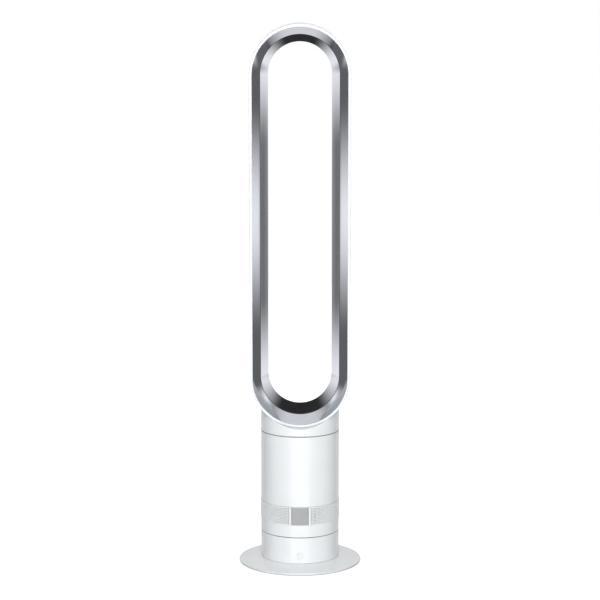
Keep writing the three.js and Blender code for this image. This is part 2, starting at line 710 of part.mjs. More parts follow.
// Outline points of one tooth, centred on an angle.
function toothPoints(teeth, centreAngle) {
  const pitchRadius = gearModule * teeth / 2;
  const tip = pitchRadius + TOOTH_ADDENDUM * gearModule;
  const root = pitchRadius - TOOTH_DEDENDUM * gearModule;
  const radii = [root, pitchRadius, tip];
  const flank = (side, radius) => {
    const angle = centreAngle + side * toothHalfAngle(radius, pitchRadius, teeth);
    return new THREE.Vector2(radius * Math.cos(angle), radius * Math.sin(angle));
  };
  const rising = radii.map((radius) => flank(-1, radius));
  const falling = radii.map((radius) => flank(1, radius)).reverse();
  return [...rising, ...falling];
}

function makePinion() {
  const pitch = 2 * Math.PI / PINION_TEETH;
  const angles = Array.from({ length: PINION_TEETH }, (_, k) => FRONT + (k + 0.5) * pitch);
  const points = angles.flatMap((angle) => toothPoints(PINION_TEETH, angle));
  const gear = extruded(new THREE.Shape(points), gearTop - PINION_THICKNESS, gearTop);
  return holesThrough(gear, OUTPUT_SHAFT_RADIUS + GAP, [[0, 0, 0]]);
}

// A toothed fan at the back, joined to a full ring round the turntable's hub.
function makeDriveSector() {
  const pitch = 2 * Math.PI / SECTOR_TEETH_ROUND;
  const count = 2 * SECTOR_TEETH_SIDE + 1;
  const angles = Array.from({ length: count }, (_, k) => Math.PI / 2 + (k - SECTOR_TEETH_SIDE) * pitch);
  const inner = hubRadius + GAP;
  const points = angles.flatMap((angle) => toothPoints(SECTOR_TEETH_ROUND, angle));
  const shape = new THREE.Shape([new THREE.Vector2(0, 0), ...points]);
  const bottom = gearTop - SECTOR_THICKNESS;
  const ring = rod(inner + SECTOR_RING, bottom, gearTop, INNER_SIDES);
  return extruded(shape, bottom, gearTop).add(ring).subtract(rod(inner, 0, REACH, INNER_SIDES));
}

const outputShaft = rod(OUTPUT_SHAFT_RADIUS, postTop - SHAFT_SEAT + GAP, gearTop - GAP, SMALL_SIDES);
add(drive, 'drive_pinion', makePinion(), FINISH.acetal);
add(drive, 'output_shaft', outputShaft, FINISH.steel);
add(tower, 'drive_sector', makeDriveSector(), FINISH.acetal);

// ---------------------------------------------------------------- turntable and skirt

const skirtScrewCircle = turntableWall - TURNTABLE_RIM / 2;
const skirtScrewPlaces = [30, 150, 270].map((degrees) => (
  atAngle(skirtScrewCircle, degrees * Math.PI / 180)));

function makeTurntable() {
  const wallTop = skirtFloor - GAP;
  const skid = thrustTop + GAP;
  const wallInner = turntableWall - TURNTABLE_RIM;
  const body = turned([
    [hubBore, hubBottom], [hubRadius, hubBottom], [hubRadius, plateBottom], [thrustInner, plateBottom],
    [thrustInner, skid], [thrustOuter, skid], [thrustOuter, plateBottom], [turntableWall, plateBottom],
    [turntableWall, wallTop], [wallInner, wallTop], [wallInner, plateTop], [hubRadius, plateTop],
    [hubRadius, hubTop], [hubBore, hubTop],
  ], INNER_SIDES);
  const hole = rod(SKIRT_SCREW_RADIUS + GAP, skirtFloorTop - SKIRT_SCREW_LENGTH, REACH, SMALL_SIDES);
  return body.subtract(join(skirtScrewPlaces.map((place) => hole.translate(place))));
}

function makeSkirt() {
  const ledgeTop = intakeFloorBottom - GAP;
  const ledgeBottom = ledgeTop - LEDGE_THICKNESS - LEDGE_WIDTH;
  const ledgeInner = columnInner - LEDGE_WIDTH;
  const cup = turned([
    [SKIRT_FLOOR_HOLE, skirtFloor], [columnInner, skirtFloor], [columnInner, skirtBottom],
    [COLUMN_RADIUS, skirtBottom], [COLUMN_RADIUS, skirtTop], [columnInner, skirtTop],
    [columnInner, ledgeTop], [ledgeInner, ledgeTop], [columnInner, ledgeBottom],
    [columnInner, skirtFloorTop], [SKIRT_FLOOR_HOLE, skirtFloorTop],
  ], OUTER_SIDES);
  const post = rod(POWER_BOARD_POST_RADIUS, skirtFloor + OVERLAP, powerBoardBottom - GAP, SMALL_SIDES);
  const posts = boardCorners(POWER_BOARD_POST_RADIUS).map((place) => post.translate(place));
  return holesThrough(join([cup, ...posts]), SKIRT_SCREW_RADIUS + GAP, skirtScrewPlaces);
}

function boardCorners(inset) {
  const x = POWER_BOARD_WIDTH / 2 - inset;
  const y = POWER_BOARD_DEPTH / 2 - inset;
  return [[x, y, 0], [-x, y, 0], [-x, -y, 0], [x, -y, 0]];
}

// The tower's own board with its transformer and capacitor.
function makePowerBoard() {
  const x = POWER_BOARD_WIDTH / 2;
  const y = POWER_BOARD_DEPTH / 2;
  const sheet = block([-x, -y, powerBoardBottom], [x, y, powerBoardTop]);
  const blockTop = powerBoardTop + POWER_BLOCK_HEIGHT;
  const blockBottom = powerBoardTop - OVERLAP;
  const transformer = block(
    [TRANSFORMER_X - TRANSFORMER_WIDTH / 2, -TRANSFORMER_DEPTH / 2, blockBottom],
    [TRANSFORMER_X + TRANSFORMER_WIDTH / 2, TRANSFORMER_DEPTH / 2, blockTop],
  );
  const capacitor = rod(CAPACITOR_RADIUS, blockBottom, blockTop, SMALL_SIDES);
  return join([sheet, transformer, capacitor.translate([CAPACITOR_X, 0, 0])]);
}

// A raised cone in the floor turns the incoming air upwards.
function makeIntakeFloor() {
  const cone = INTAKE_CONE_RADIUS;
  const skin = INTAKE_FLOOR_THICKNESS;
  return turned([
    [0, intakeFloorBottom + INTAKE_CONE_HEIGHT], [cone, intakeFloorBottom], [columnFit, intakeFloorBottom],
    [columnFit, intakeFloorTop], [cone, intakeFloorTop], [0, intakeFloorBottom + INTAKE_CONE_HEIGHT + skin],
  ], INNER_SIDES);
}

const skirtScrew = screw(SKIRT_SCREW_RADIUS, SKIRT_SCREW_HEAD_RADIUS, SKIRT_SCREW_LENGTH);
const bushInner = SPINDLE_RADIUS + RUNNING_GAP;
const pivotBush = tube(bushInner, bushInner + BUSH_WALL, hubBottom, hubTop, INNER_SIDES);
add(tower, 'turntable', makeTurntable(), FINISH.black);
add(tower, 'pivot_bush', pivotBush, FINISH.acetal);
add(tower, 'tower_skirt', makeSkirt(), FINISH.white);
skirtScrewPlaces.forEach(([x, y], index) => {
  add(tower, `skirt_screw_${index + 1}`, skirtScrew, FINISH.steel, [x, y, skirtFloorTop + GAP]);
});
add(tower, 'power_board', makePowerBoard(), FINISH.board);
add(tower, 'intake_floor', makeIntakeFloor(), FINISH.innerWhite);

// ---------------------------------------------------------------- intake grille and display

function makeIntakeGrille() {
  const inner = grilleRadius - GRILLE_WALL;
  const edge = bezelAngle + GAP / grilleRadius;
  const ring = arcWall(
    inner, grilleRadius, FRONT + edge, FRONT - edge + 2 * Math.PI, grilleBottom, grilleTop, GRILLE_STEPS,
  );
  const span = 2 * Math.PI - 2 * edge - 2 * GRILLE_RIB / grilleRadius;
  const rows = (GRILLE_HEIGHT - 2 * GRILLE_RAIL + GRILLE_RIB) / GRILLE_ROWS;
  const pitch = span / GRILLE_COLUMNS;
  const half = (pitch * grilleRadius - GRILLE_RIB) / 2;
  const hole = block([inner - OVERLAP, -half, 0], [grilleRadius + OVERLAP, half, rows - GRILLE_RIB]);
  const holes = [];
  for (let column = 0; column < GRILLE_COLUMNS; column += 1) {
    const angle = FRONT + Math.PI + (column - (GRILLE_COLUMNS - 1) / 2) * pitch;
    for (let row = 0; row < GRILLE_ROWS; row += 1) {
      const bottom = grilleBottom + GRILLE_RAIL + row * rows;
      holes.push(hole.rotate([0, 0, angle * 180 / Math.PI]).translate([0, 0, bottom]));
    }
  }
  return ring.subtract(join(holes));
}

function makeBezel() {
  const inner = grilleRadius - BEZEL_DEPTH;
  const frame = arcWall(
    inner, grilleRadius, FRONT - bezelAngle, FRONT + bezelAngle, grilleBottom, grilleTop, BEZEL_STEPS,
  );
  const opening = arcWall(
    inner - OVERLAP, grilleRadius + OVERLAP, FRONT - windowAngle, FRONT + windowAngle,
    grilleBottom + DISPLAY_RAIL, grilleTop - DISPLAY_RAIL, WINDOW_STEPS,
  );
  return frame.subtract(opening);
}

function makeDisplayWindow() {
  const edge = windowAngle - GAP / grilleRadius;
  const rail = DISPLAY_RAIL + GAP;
  return arcWall(
    grilleRadius - BEZEL_DEPTH / 2, grilleRadius - WINDOW_INSET, FRONT - edge, FRONT + edge,
    grilleBottom + rail, grilleTop - rail, WINDOW_STEPS,
  );
}

function makeDisplayBoard() {
  const half = bezelHalf - DISPLAY_BAR / 2;
  const front = -Math.sqrt((grilleRadius - BEZEL_DEPTH) ** 2 - half ** 2) + GAP;
  const low = [-half, front, grilleBottom + GAP];
  return block(low, [half, front + BOARD_THICKNESS, grilleTop - GAP]);
}

add(tower, 'intake_grille', makeIntakeGrille(), FINISH.white);
add(tower, 'display_bezel', makeBezel(), FINISH.white);
add(tower, 'display_window', makeDisplayWindow(), FINISH.window);
add(tower, 'display_board', makeDisplayBoard(), FINISH.board);

// ---------------------------------------------------------------- column body

const ledgeInside = columnInner - BODY_LEDGE_WIDTH;

function makeBodyShell() {
  const ledgeTop = bodyBottom + BODY_LEDGE_HEIGHT;
  return turned([
    [columnInner, bodyBottom], [COLUMN_RADIUS, bodyBottom], [COLUMN_RADIUS, bodyTop],
    [columnInner, bodyTop], [columnInner, ledgeTop], [ledgeInside, ledgeTop],
    [ledgeInside, ledgeTop - LEDGE_THICKNESS], [columnInner, ledgeTop - LEDGE_THICKNESS],
  ], OUTER_SIDES);
}

const isolationTop = isolationBottom + ISOLATION_THICKNESS;
const isolationRing = tube(ledgeInside, columnFit, isolationBottom, isolationTop, INNER_SIDES);
add(tower, 'body_shell', makeBodyShell(), FINISH.white);
add(tower, 'isolation_ring', isolationRing, FINISH.rubber);

// ---------------------------------------------------------------- impeller housing

// The shroud's inner radius: wide at its mouth, narrow at the eye, wide again at the outlet.
function shroudInner(height) {
  const rise = (height - SHROUD_LIP) / (SHROUD_HEIGHT - SHROUD_LIP);
  if (rise > 0) return SHROUD_EYE + (SHROUD_OUTLET - SHROUD_EYE) * rise ** 2;
  return SHROUD_EYE + (SHROUD_MOUTH - SHROUD_EYE) * (1 - height / SHROUD_LIP) ** 2;
}

const mouthHeights = [0, 0.4].map((part) => part * SHROUD_LIP);
const eyeHeights = [0, 0.4, 0.7, 1].map((part) => SHROUD_LIP + part * (SHROUD_HEIGHT - SHROUD_LIP));

function makeShroud() {
  const flangeTop = SHROUD_WALL;
  const wall = (heights, offset) => heights.map((height) => (
    [shroudInner(height) + offset, shroudBottom + height]));
  const inside = wall([...mouthHeights, ...eyeHeights], 0);
  const outside = wall(eyeHeights, SHROUD_WALL).reverse();
  return turned([
    ...inside, ...outside, [SHROUD_MOUTH + SHROUD_WALL, shroudBottom + flangeTop],
    [columnFit, shroudBottom + flangeTop], [columnFit, shroudBottom],
  ], INNER_SIDES);
}

// The impeller's hub widens upwards to the motor's bucket.
function hubRadiusAt(rise) {
  return IMPELLER_NOSE_RADIUS + (BUCKET_RADIUS - IMPELLER_NOSE_RADIUS) * rise ** 1.5;
}

// Flat plates that stand out from the axis like spokes, each pitched over by an angle.
function fanOut(count, thickness, pitch, inner, middle) {
  const half = thickness / 2;
  const plate = block([inner, -half, -REACH / 4], [COLUMN_RADIUS, half, REACH / 4]);
  const pitched = plate.rotate([pitch, 0, 0]).translate([0, 0, middle]);
  return join(Array.from({ length: count }, (_, k) => pitched.rotate([0, 0, k * 360 / count])));
}

function makeImpeller() {
  const height = impellerTop - impellerBottom;
  const rises = [0, 0.3, 0.65, 1];
  const skin = (inset) => rises.map((rise) => [hubRadiusAt(rise) - inset, impellerBottom + rise * height]);
  const bore = SHAFT_RADIUS + GAP;
  const under = skin(IMPELLER_WALL).slice(2).reverse();
  const web = impellerBottom + rises[1] * height;
  const hub = turned([
    [bore, impellerBottom], ...skin(0), ...under, [IMPELLER_BOSS_RADIUS, web + IMPELLER_WALL],
    [IMPELLER_BOSS_RADIUS, impellerTop - IMPELLER_WALL], [bore, impellerTop - IMPELLER_WALL],
  ], INNER_SIDES);
  const swept = eyeHeights.slice(0, -1)
    .map((value) => [shroudInner(value) - TIP_CLEARANCE, shroudBottom + value]);
  const rimRadius = shroudInner(SHROUD_HEIGHT - TIP_CLEARANCE) - TIP_CLEARANCE;
  const region = turned([
    ...swept, [rimRadius, impellerTop], ...skin(IMPELLER_WALL / 2).slice(1).reverse(),
  ], INNER_SIDES);
  const blades = fanOut(BLADE_COUNT, BLADE_THICKNESS, BLADE_PITCH, 0, (impellerBottom + impellerTop) / 2);
  return hub.add(region.intersect(blades));
}

// Outer ring, motor bucket and the still vanes between them.
function makeDiffuser() {
  const floor = diffuserBottom + TIP_CLEARANCE;
  const ring = tube(SHROUD_OUTLET, SHROUD_OUTLET + SHROUD_WALL, diffuserBottom, diffuserTop, INNER_SIDES);
  const seatInner = BEARING_RADIUS + GAP;
  const seatOuter = seatInner + BEARING_SEAT_WALL;
  const bucketInner = BUCKET_RADIUS - BUCKET_WALL;
  const bucket = turned([
    [SHAFT_RADIUS + GAP, floor], [BUCKET_RADIUS, floor], [BUCKET_RADIUS, diffuserTop],
    [bucketInner, diffuserTop], [bucketInner, bucketFloorTop], [seatOuter, bucketFloorTop],
    [seatOuter, lowerBearingTop], [seatInner, lowerBearingTop], [seatInner, bucketFloorTop],
    [SHAFT_RADIUS + GAP, bucketFloorTop],
  ], INNER_SIDES);
  const low = diffuserBottom + VANE_MARGIN;
  const high = diffuserTop - VANE_MARGIN;
  const rootRadius = BUCKET_RADIUS - BUCKET_WALL / 2;
  const region = tube(rootRadius, SHROUD_OUTLET + SHROUD_WALL / 2, low, high, INNER_SIDES);
  const vanes = fanOut(VANE_COUNT, VANE_THICKNESS, -VANE_PITCH, BUCKET_RADIUS / 2, (low + high) / 2);
  return join([ring, bucket, region.intersect(vanes)]);
}

add(tower, 'impeller_shroud', makeShroud(), FINISH.black);
add(blower, 'impeller', makeImpeller(), FINISH.grey);
add(tower, 'diffuser_housing', makeDiffuser(), FINISH.black);

// ---------------------------------------------------------------- motor

function makeStator() {
  const inner = ROTOR_RADIUS + AIR_GAP;
  const outer = bucketFit;
  const yoke = tube(outer - STATOR_YOKE, outer, rotorBottom, rotorTop, INNER_SIDES);
  const half = STATOR_POLE_WIDTH / 2;
  const pole = block([inner, -half, rotorBottom], [outer - OVERLAP, half, rotorTop]);
  const poles = Array.from({ length: STATOR_POLES }, (_, k) => pole.rotate([0, 0, k * 360 / STATOR_POLES]));
  return join([yoke, ...poles]);
}

function makeEndCap() {
  const seatInner = BEARING_RADIUS + GAP;
  const seatOuter = seatInner + BEARING_SEAT_WALL;
  const lip = upperBearingTop + GAP;
  return turned([
    [seatInner, endCapBottom], [bucketFit, endCapBottom], [bucketFit, endCapTop], [seatOuter, endCapTop],
    [seatOuter, lip + END_CAP_THICKNESS], [SHAFT_RADIUS + GAP, lip + END_CAP_THICKNESS],
    [SHAFT_RADIUS + GAP, lip], [seatInner, lip],
  ], INNER_SIDES);
}

function makeMotorCover() {
  const top = diffuserTop + GAP + MOTOR_COVER_HEIGHT;
  const bottom = diffuserTop + GAP;
  const curve = [0, 0.4, 0.75, 1];
  const spread = BUCKET_RADIUS - MOTOR_COVER_TIP;
  const radiusAt = (rise) => MOTOR_COVER_TIP + spread * Math.sqrt(1 - rise * rise);
  const outside = curve.map((rise) => [radiusAt(rise), bottom + rise * MOTOR_COVER_HEIGHT]);
  const inside = curve.slice(0, 3).reverse()
    .map((rise) => [radiusAt(rise) - MOTOR_COVER_WALL, bottom + rise * MOTOR_COVER_HEIGHT]);
  return turned([[0, top - MOTOR_COVER_WALL], ...inside, ...outside, [0, top]], INNER_SIDES);
}

function makeBearing(bottom) {
  return tube(SHAFT_RADIUS + GAP, BEARING_RADIUS, bottom, bottom + BEARING_HEIGHT, 2 * SMALL_SIDES);
}

const boardInner = BEARING_RADIUS + BEARING_SEAT_WALL + 2 * GAP;
const boardBottom = endCapTop + GAP;
const motorBoard = tube(boardInner, bucketFit, boardBottom, boardBottom + BOARD_THICKNESS, INNER_SIDES);
const motorRotor = tube(SHAFT_RADIUS + GAP, ROTOR_RADIUS, rotorBottom, rotorTop, INNER_SIDES);
add(blower, 'motor_shaft', rod(SHAFT_RADIUS, shaftBottom, upperBearingTop, SMALL_SIDES), FINISH.steel);
add(blower, 'motor_rotor', motorRotor, FINISH.grey);
add(tower, 'motor_stator', makeStator(), FINISH.steel);
add(tower, 'lower_bearing', makeBearing(lowerBearingBottom), FINISH.steel);
add(tower, 'upper_bearing', makeBearing(upperBearingTop - BEARING_HEIGHT), FINISH.steel);
add(tower, 'motor_end_cap', makeEndCap(), FINISH.black);
add(tower, 'motor_board', motorBoard, FINISH.board);
add(tower, 'motor_cover', makeMotorCover(), FINISH.black);

// ---------------------------------------------------------------- air path above the motor

const foamInner = Math.max(SHROUD_OUTLET, SHROUD_MOUTH) + SHROUD_WALL + FOAM_CLEARANCE;
const foamBottom = shroudBottom + SHROUD_WALL + GAP;
const ductBottom = diffuserTop + GAP;
const bayonetBottom = bayonetTop - BAYONET_HEIGHT;
const bayonetInner = columnFit - BAYONET_WIDTH;
const ductTop = bayonetBottom - DUCT_DROP;
const ductTopRadius = bayonetInner - DUCT_INSET;

function makeTransitionDuct() {
  const outlet = SHROUD_OUTLET + SHROUD_WALL;
  return turned([
    [outlet - DUCT_WALL, ductBottom], [columnFit, ductBottom], [columnFit, ductBottom + DUCT_WALL],
    [outlet + DUCT_WALL, ductBottom + DUCT_WALL], [ductTopRadius, ductTop],
    [ductTopRadius - DUCT_WALL, ductTop],
  ], INNER_SIDES);
}

const bayonet = tube(bayonetInner, columnFit, bayonetBottom, bayonetTop, INNER_SIDES);
const foam = tube(foamInner, columnFit, foamBottom, diffuserTop, INNER_SIDES);
const seal = tube(columnInner, COLUMN_RADIUS + SEAL_PROUD, sealBottom, sealTop, OUTER_SIDES);
add(tower, 'silencer_foam', foam, FINISH.foam);
add(tower, 'transition_duct', makeTransitionDuct(), FINISH.black);
add(tower, 'bayonet_ring', bayonet, FINISH.grey);
add(tower, 'neck_seal', seal, FINISH.seal);

// ---------------------------------------------------------------- neck under the loop

function passage() {
  const half = PASSAGE_WIDTH / 2;
  return block([-half, -PASSAGE_FRONT, spigotBottom], [half, PASSAGE_BACK, passageTop]);
}

// The column's wall runs up until it meets the loop, and closes under it with a saddle.
function makeNeck() {
  const top = lowCentre;
  const spigotInner = columnFit - SHELL_WALL;
  const stepTop = neckBottom + SHELL_WALL;
  const outside = turned([
    [0, spigotBottom], [columnFit, spigotBottom], [columnFit, neckBottom],
    [COLUMN_RADIUS, neckBottom], [COLUMN_RADIUS, top], [0, top],
  ], OUTER_SIDES).subtract(loopPrism(LOOP_RADIUS + GAP, -REACH, REACH));
  const hollow = turned([
    [0, spigotBottom - OVERLAP], [spigotInner, spigotBottom - OVERLAP], [spigotInner, stepTop],
    [columnInner, stepTop], [columnInner, top + OVERLAP], [0, top + OVERLAP],
  ], OUTER_SIDES).subtract(loopPrism(LOOP_RADIUS + GAP + SHELL_WALL, -REACH, REACH));
  return outside.subtract(hollow).subtract(passage());
}

// A wedge in the passage sends the air up both sides of the loop.
function makeFlowDivider() {
  const half = DIVIDER_WIDTH / 2;
  const top = passageTop - DIVIDER_DROP;
  const wedge = new THREE.Shape([
    new THREE.Vector2(0, top - DIVIDER_HEIGHT),
    new THREE.Vector2(half, top),
    new THREE.Vector2(-half, top),
  ]);
  return alongY(extruded(wedge, -PASSAGE_FRONT + GAP, PASSAGE_BACK - GAP).mirror([0, 1, 0]), 0);
}

add(tower, 'loop_neck', makeNeck(), FINISH.white);
add(tower, 'flow_divider', makeFlowDivider(), FINISH.innerWhite);

// ---------------------------------------------------------------- air loop

// Points of an elliptical quarter turn in the (radius, depth) plane.
function quarter(centre, radii, start, end, steps) {
  return Array.from({ length: steps + 1 }, (_, k) => {
    const angle = (start + (end - start) * k / steps) * Math.PI / 180;
    return [centre[0] + radii[0] * Math.cos(angle), centre[1] + radii[1] * Math.sin(angle)];
  });
}

const lipRadius = THROAT_RADIUS + LIP_OFFSET;
const lipThickness = LOOP_WALL;
const lipReach = NOSE_RADIUS + SLOT_WIDTH;
const lipSide = noseRadius - lipRadius - lipThickness;
const lipY = throatY + Math.sqrt(lipReach ** 2 - Math.max(0, lipSide) ** 2);
const crownRadius = THROAT_RADIUS + BACK_CROWN;
const shoulderY = loopBack - BACK_ROUNDING;

// The casing is the white skin: front rim, outer wall, rounded back, and the lip over the slot.
function makeOuterCasing() {
  const rimInner = LOOP_RADIUS - RIM_WIDTH;
  const wallInner = LOOP_RADIUS - LOOP_WALL;
  const rimBack = loopFront + RIM_THICKNESS;
  const outward = LOOP_RADIUS - crownRadius;
  const inward = crownRadius - lipRadius;
  const casing = racetrack([
    [rimInner, rimBack], [rimInner, loopFront + RIM_ROUNDING / 2],
    [rimInner + RIM_ROUNDING / 2, loopFront],
    [LOOP_RADIUS - RIM_ROUNDING, loopFront], [LOOP_RADIUS, loopFront + RIM_ROUNDING],
    ...quarter([crownRadius, shoulderY], [outward, BACK_ROUNDING], 0, 90, 5),
    ...quarter([crownRadius, lipY], [inward, loopBack - lipY], 90, 180, 5).slice(1),
    ...quarter([crownRadius, lipY], [inward - LOOP_WALL, loopBack - lipY - LOOP_WALL], 180, 90, 4),
    ...quarter([crownRadius, shoulderY], [outward - LOOP_WALL, BACK_ROUNDING - LOOP_WALL], 90, 0, 3)
      .slice(1),
    [wallInner, rimBack],
  ]);
  return casing.subtract(passage());
}

// How far out, square to the depth axis, the back of a sloping wall lies from its face.
function wallOffset(radiusRun, depthRun) {
  return RING_WALL * Math.hypot(radiusRun, depthRun) / depthRun;
}

// The bright cone inside the rim. Its front edge hooks behind the rim.
function makeFrontTrim() {
  const frontRadius = LOOP_RADIUS - RIM_WIDTH - GAP;
  const frontY = loopFront + TRIM_INSET;
  const backY = creaseY - GAP;
  const slope = (frontRadius - CREASE_RADIUS) / (backY - frontY);
  const faceAt = (y) => frontRadius - slope * (y - frontY);
  const offset = wallOffset(frontRadius - CREASE_RADIUS, backY - frontY);
  const hookFront = loopFront + RIM_THICKNESS + GAP;
  const hookBack = hookFront + RING_WALL;
  const hookRadius = LOOP_RADIUS - LOOP_WALL - GAP;
  const flangeFront = backY - RING_WALL;
  return racetrack([
    [frontRadius, frontY], [CREASE_RADIUS, backY], [metalRadius, backY], [metalRadius, flangeFront],
    [faceAt(flangeFront) + offset, flangeFront], [faceAt(hookBack) + offset, hookBack],
    [hookRadius, hookBack], [hookRadius, hookFront], [frontRadius, hookFront],
  ]);
}

// The ramp that the air follows, from its curled nose at the slot out to the crease.
function makeDiffuserRing() {
  const frontRadius = CREASE_RADIUS - GAP;
  const run = [noseRadius - frontRadius, throatY - creaseY];
  const reach = Math.hypot(...run);
  const heading = Math.atan2(run[1], run[0]) * 180 / Math.PI;
  const touch = heading + 180 - Math.acos(NOSE_RADIUS / reach) * 180 / Math.PI;
  const innerRadius = NOSE_RADIUS - RING_WALL;
  const backTouch = heading + 180 - Math.acos(innerRadius / reach) * 180 / Math.PI;
  const nose = quarter([noseRadius, throatY], [NOSE_RADIUS, NOSE_RADIUS], touch, 0, 5);
  const inside = quarter([noseRadius, throatY], [innerRadius, innerRadius], 0, backTouch, 3);
  const flangeRadius = CREASE_RADIUS + RING_FLANGE;
  const flangeBack = creaseY + RING_WALL;
  const tangent = nose[0];
  const slope = (frontRadius - tangent[0]) / (tangent[1] - creaseY);
  const offset = wallOffset(frontRadius - tangent[0], tangent[1] - creaseY);
  const ring = racetrack([
    [frontRadius, creaseY], ...nose, ...inside,
    [frontRadius - slope * RING_WALL + offset, flangeBack], [flangeRadius, flangeBack],
    [flangeRadius, creaseY],
  ]);
  return join([ring, ...slotRibs()]);
}

// Small ribs on the straight sides of the nose keep the slot's width.
function slotRibs() {
  const count = 2 * Math.floor(LOOP_STRAIGHT / 2 / RIB_SPACING);
  const top = throatY + NOSE_RADIUS + SLOT_WIDTH - 2 * GAP;
  const rib = block(
    [lipRadius + GAP, throatY + NOSE_RADIUS / 2, -RIB_WIDTH / 2],
    [noseRadius + RING_WALL, top, RIB_WIDTH / 2],
  );
  const heights = Array.from({ length: count }, (_, k) => (
    (lowCentre + highCentre) / 2 + (k - (count - 1) / 2) * RIB_SPACING));
  return heights.flatMap((height) => [
    rib.translate([0, 0, height]), rib.mirror([1, 0, 0]).translate([0, 0, height]),
  ]);
}

add(tower, 'loop_outer_casing', makeOuterCasing(), FINISH.white);
add(tower, 'front_trim', makeFrontTrim(), FINISH.nickel);
add(tower, 'diffuser_ring', makeDiffuserRing(), FINISH.nickel);

export default fan;
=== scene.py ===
"""A tall bladeless fan: a racetrack air loop on a round column with a flat foot.

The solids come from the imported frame. This script gives the visible skins their
rounded edges and fine grille, finishes every surface, and lights the fan on a pale floor.
"""
import json
import math

import bmesh
import bpy
from mathutils import Matrix, Vector

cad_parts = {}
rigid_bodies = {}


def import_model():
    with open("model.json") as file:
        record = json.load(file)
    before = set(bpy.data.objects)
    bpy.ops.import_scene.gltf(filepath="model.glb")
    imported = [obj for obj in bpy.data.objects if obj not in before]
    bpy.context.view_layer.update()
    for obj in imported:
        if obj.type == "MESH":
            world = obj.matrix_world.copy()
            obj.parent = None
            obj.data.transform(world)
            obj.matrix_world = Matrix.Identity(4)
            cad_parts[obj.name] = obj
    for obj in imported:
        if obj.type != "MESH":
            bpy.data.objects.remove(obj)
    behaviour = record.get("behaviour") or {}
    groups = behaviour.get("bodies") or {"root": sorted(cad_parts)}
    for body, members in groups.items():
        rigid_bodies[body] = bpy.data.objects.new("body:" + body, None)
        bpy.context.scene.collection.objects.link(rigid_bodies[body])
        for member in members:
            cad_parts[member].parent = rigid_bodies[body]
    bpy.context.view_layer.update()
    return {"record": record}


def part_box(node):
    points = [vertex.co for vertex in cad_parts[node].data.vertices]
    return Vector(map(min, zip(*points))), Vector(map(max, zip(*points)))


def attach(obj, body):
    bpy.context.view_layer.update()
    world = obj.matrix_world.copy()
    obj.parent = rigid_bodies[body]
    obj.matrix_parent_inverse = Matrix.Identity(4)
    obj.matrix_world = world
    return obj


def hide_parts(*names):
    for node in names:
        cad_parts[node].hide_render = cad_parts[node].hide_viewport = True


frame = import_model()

MM = 0.001
MICRON = 1e-6

# ---------------------------------------------------------------- sizes, in millimetres

STEPS = 160                # facets round the column
LOOP_END_STEPS = 96        # facets round each end of the loop
BUTTON_STEPS = 72
GLAND_STEPS = 64
BORE_STEPS = 48            # facets round a drilled hole
SCREW_STEPS = 40
EDGE_SEGMENTS = 4
SHARP_ANGLE = math.radians(32)
SAME_PLACE = 0.01          # vertices nearer than this are one vertex
NEAR = 0.1                 # slack in picking vertices by where they are
GAP = 0.3                  # between pieces that lie side by side

HAIR_EDGE = 0.1            # roundings of the small edges
FINE_EDGE = 0.2
SOFT_EDGE = 0.3
LIP_EDGE = 0.4
ROUND_EDGE = 0.5
SEAM_ROUNDING = 0.7        # edges of the column's skins where they meet
SHEET_EDGE_SEGMENTS = 3    # roundings of a sheet's edges
SHEET_EDGE_ANGLE = math.radians(50)

SHELL_WALL = 2.5
SEAL_ROUNDING = 0.35
COLLAR = 1.0               # straight wall of the neck over its floor
SADDLE_RINGS = (0.9, 0.75, 0.6, 0.45, 0.3, 0.15, 0)   # in column radii
SADDLE_ROUNDING = 0.9

FOOT_EDGE_HEIGHT = 3.6
FOOT_EDGE_ROUNDING = 0.9
FOOT_UNDERCUT = 1.5        # lean of the foot's edge, in towards the floor
FOOT_WALL = 2.0
FOOT_SHOULDER = 2.5        # flat ring of the foot outside the column
FOOT_SHOULDER_ROUNDING = 2.0
PAD_WIDTH = 7.4
FOOT_BORE_DEPTH = 100      # right through the foot's cover
SCREWS = 4
SCREW_RADIUS = 1.7
SCREW_TIP = 0.6            # flat share of the screw's tip and of its head's crown
SCREW_HEAD_RADIUS = 3.5
SCREW_HEAD = 1.6
SCREW_CROWN = 0.7          # height of the crown over the head's edge
SCREW_CROWN_ROUNDING = 0.6
CROSS_LENGTH = 3.8
CROSS_WIDTH = 0.9
CROSS_DEPTH = 1.1
CROSS_TURN = 0.4           # radians

RIM_WIDTH = 4.65
RIM_THICKNESS = 4.0
RIM_ROUNDING = 1.5
RIM_INNER_ROUNDING = 0.8
LOOP_WALL = 2.2
BACK_CROWN = 19.4          # from the throat out to the furthest part of the back
BACK_ROUNDING = 27.0
BACK_STEPS = 14            # facets of the back's curves, outside and inside
BACK_WALL_STEPS = 10
CREASE_DEPTH = 31.0        # of the metal's crease behind the loop's front
CREASE_RADIUS = 72.45
CREASE_SHADOW_WIDTH = 0.8        # seen width of the black strip that paints the shadow in the metal's crease
# thickness of the black strip that paints the crease's shadow
SHADOW_STRIP_THICKNESS = 0.7
THROAT_DEPTH = 68.7
THROAT_RADIUS = 58.6
TRIM_INSET = 0.6
RING_WALL = 1.8
RING_FLANGE = 3.7
NOSE_RADIUS = 5.5
NOSE_STEPS = 20            # facets of the ramp's nose, outside and inside
NOSE_WALL_STEPS = 12
SLOT_WIDTH = 1.3
LIP_OFFSET = 2.8
RIB_SPACING = 110.0
RIB_WIDTH = 3.0

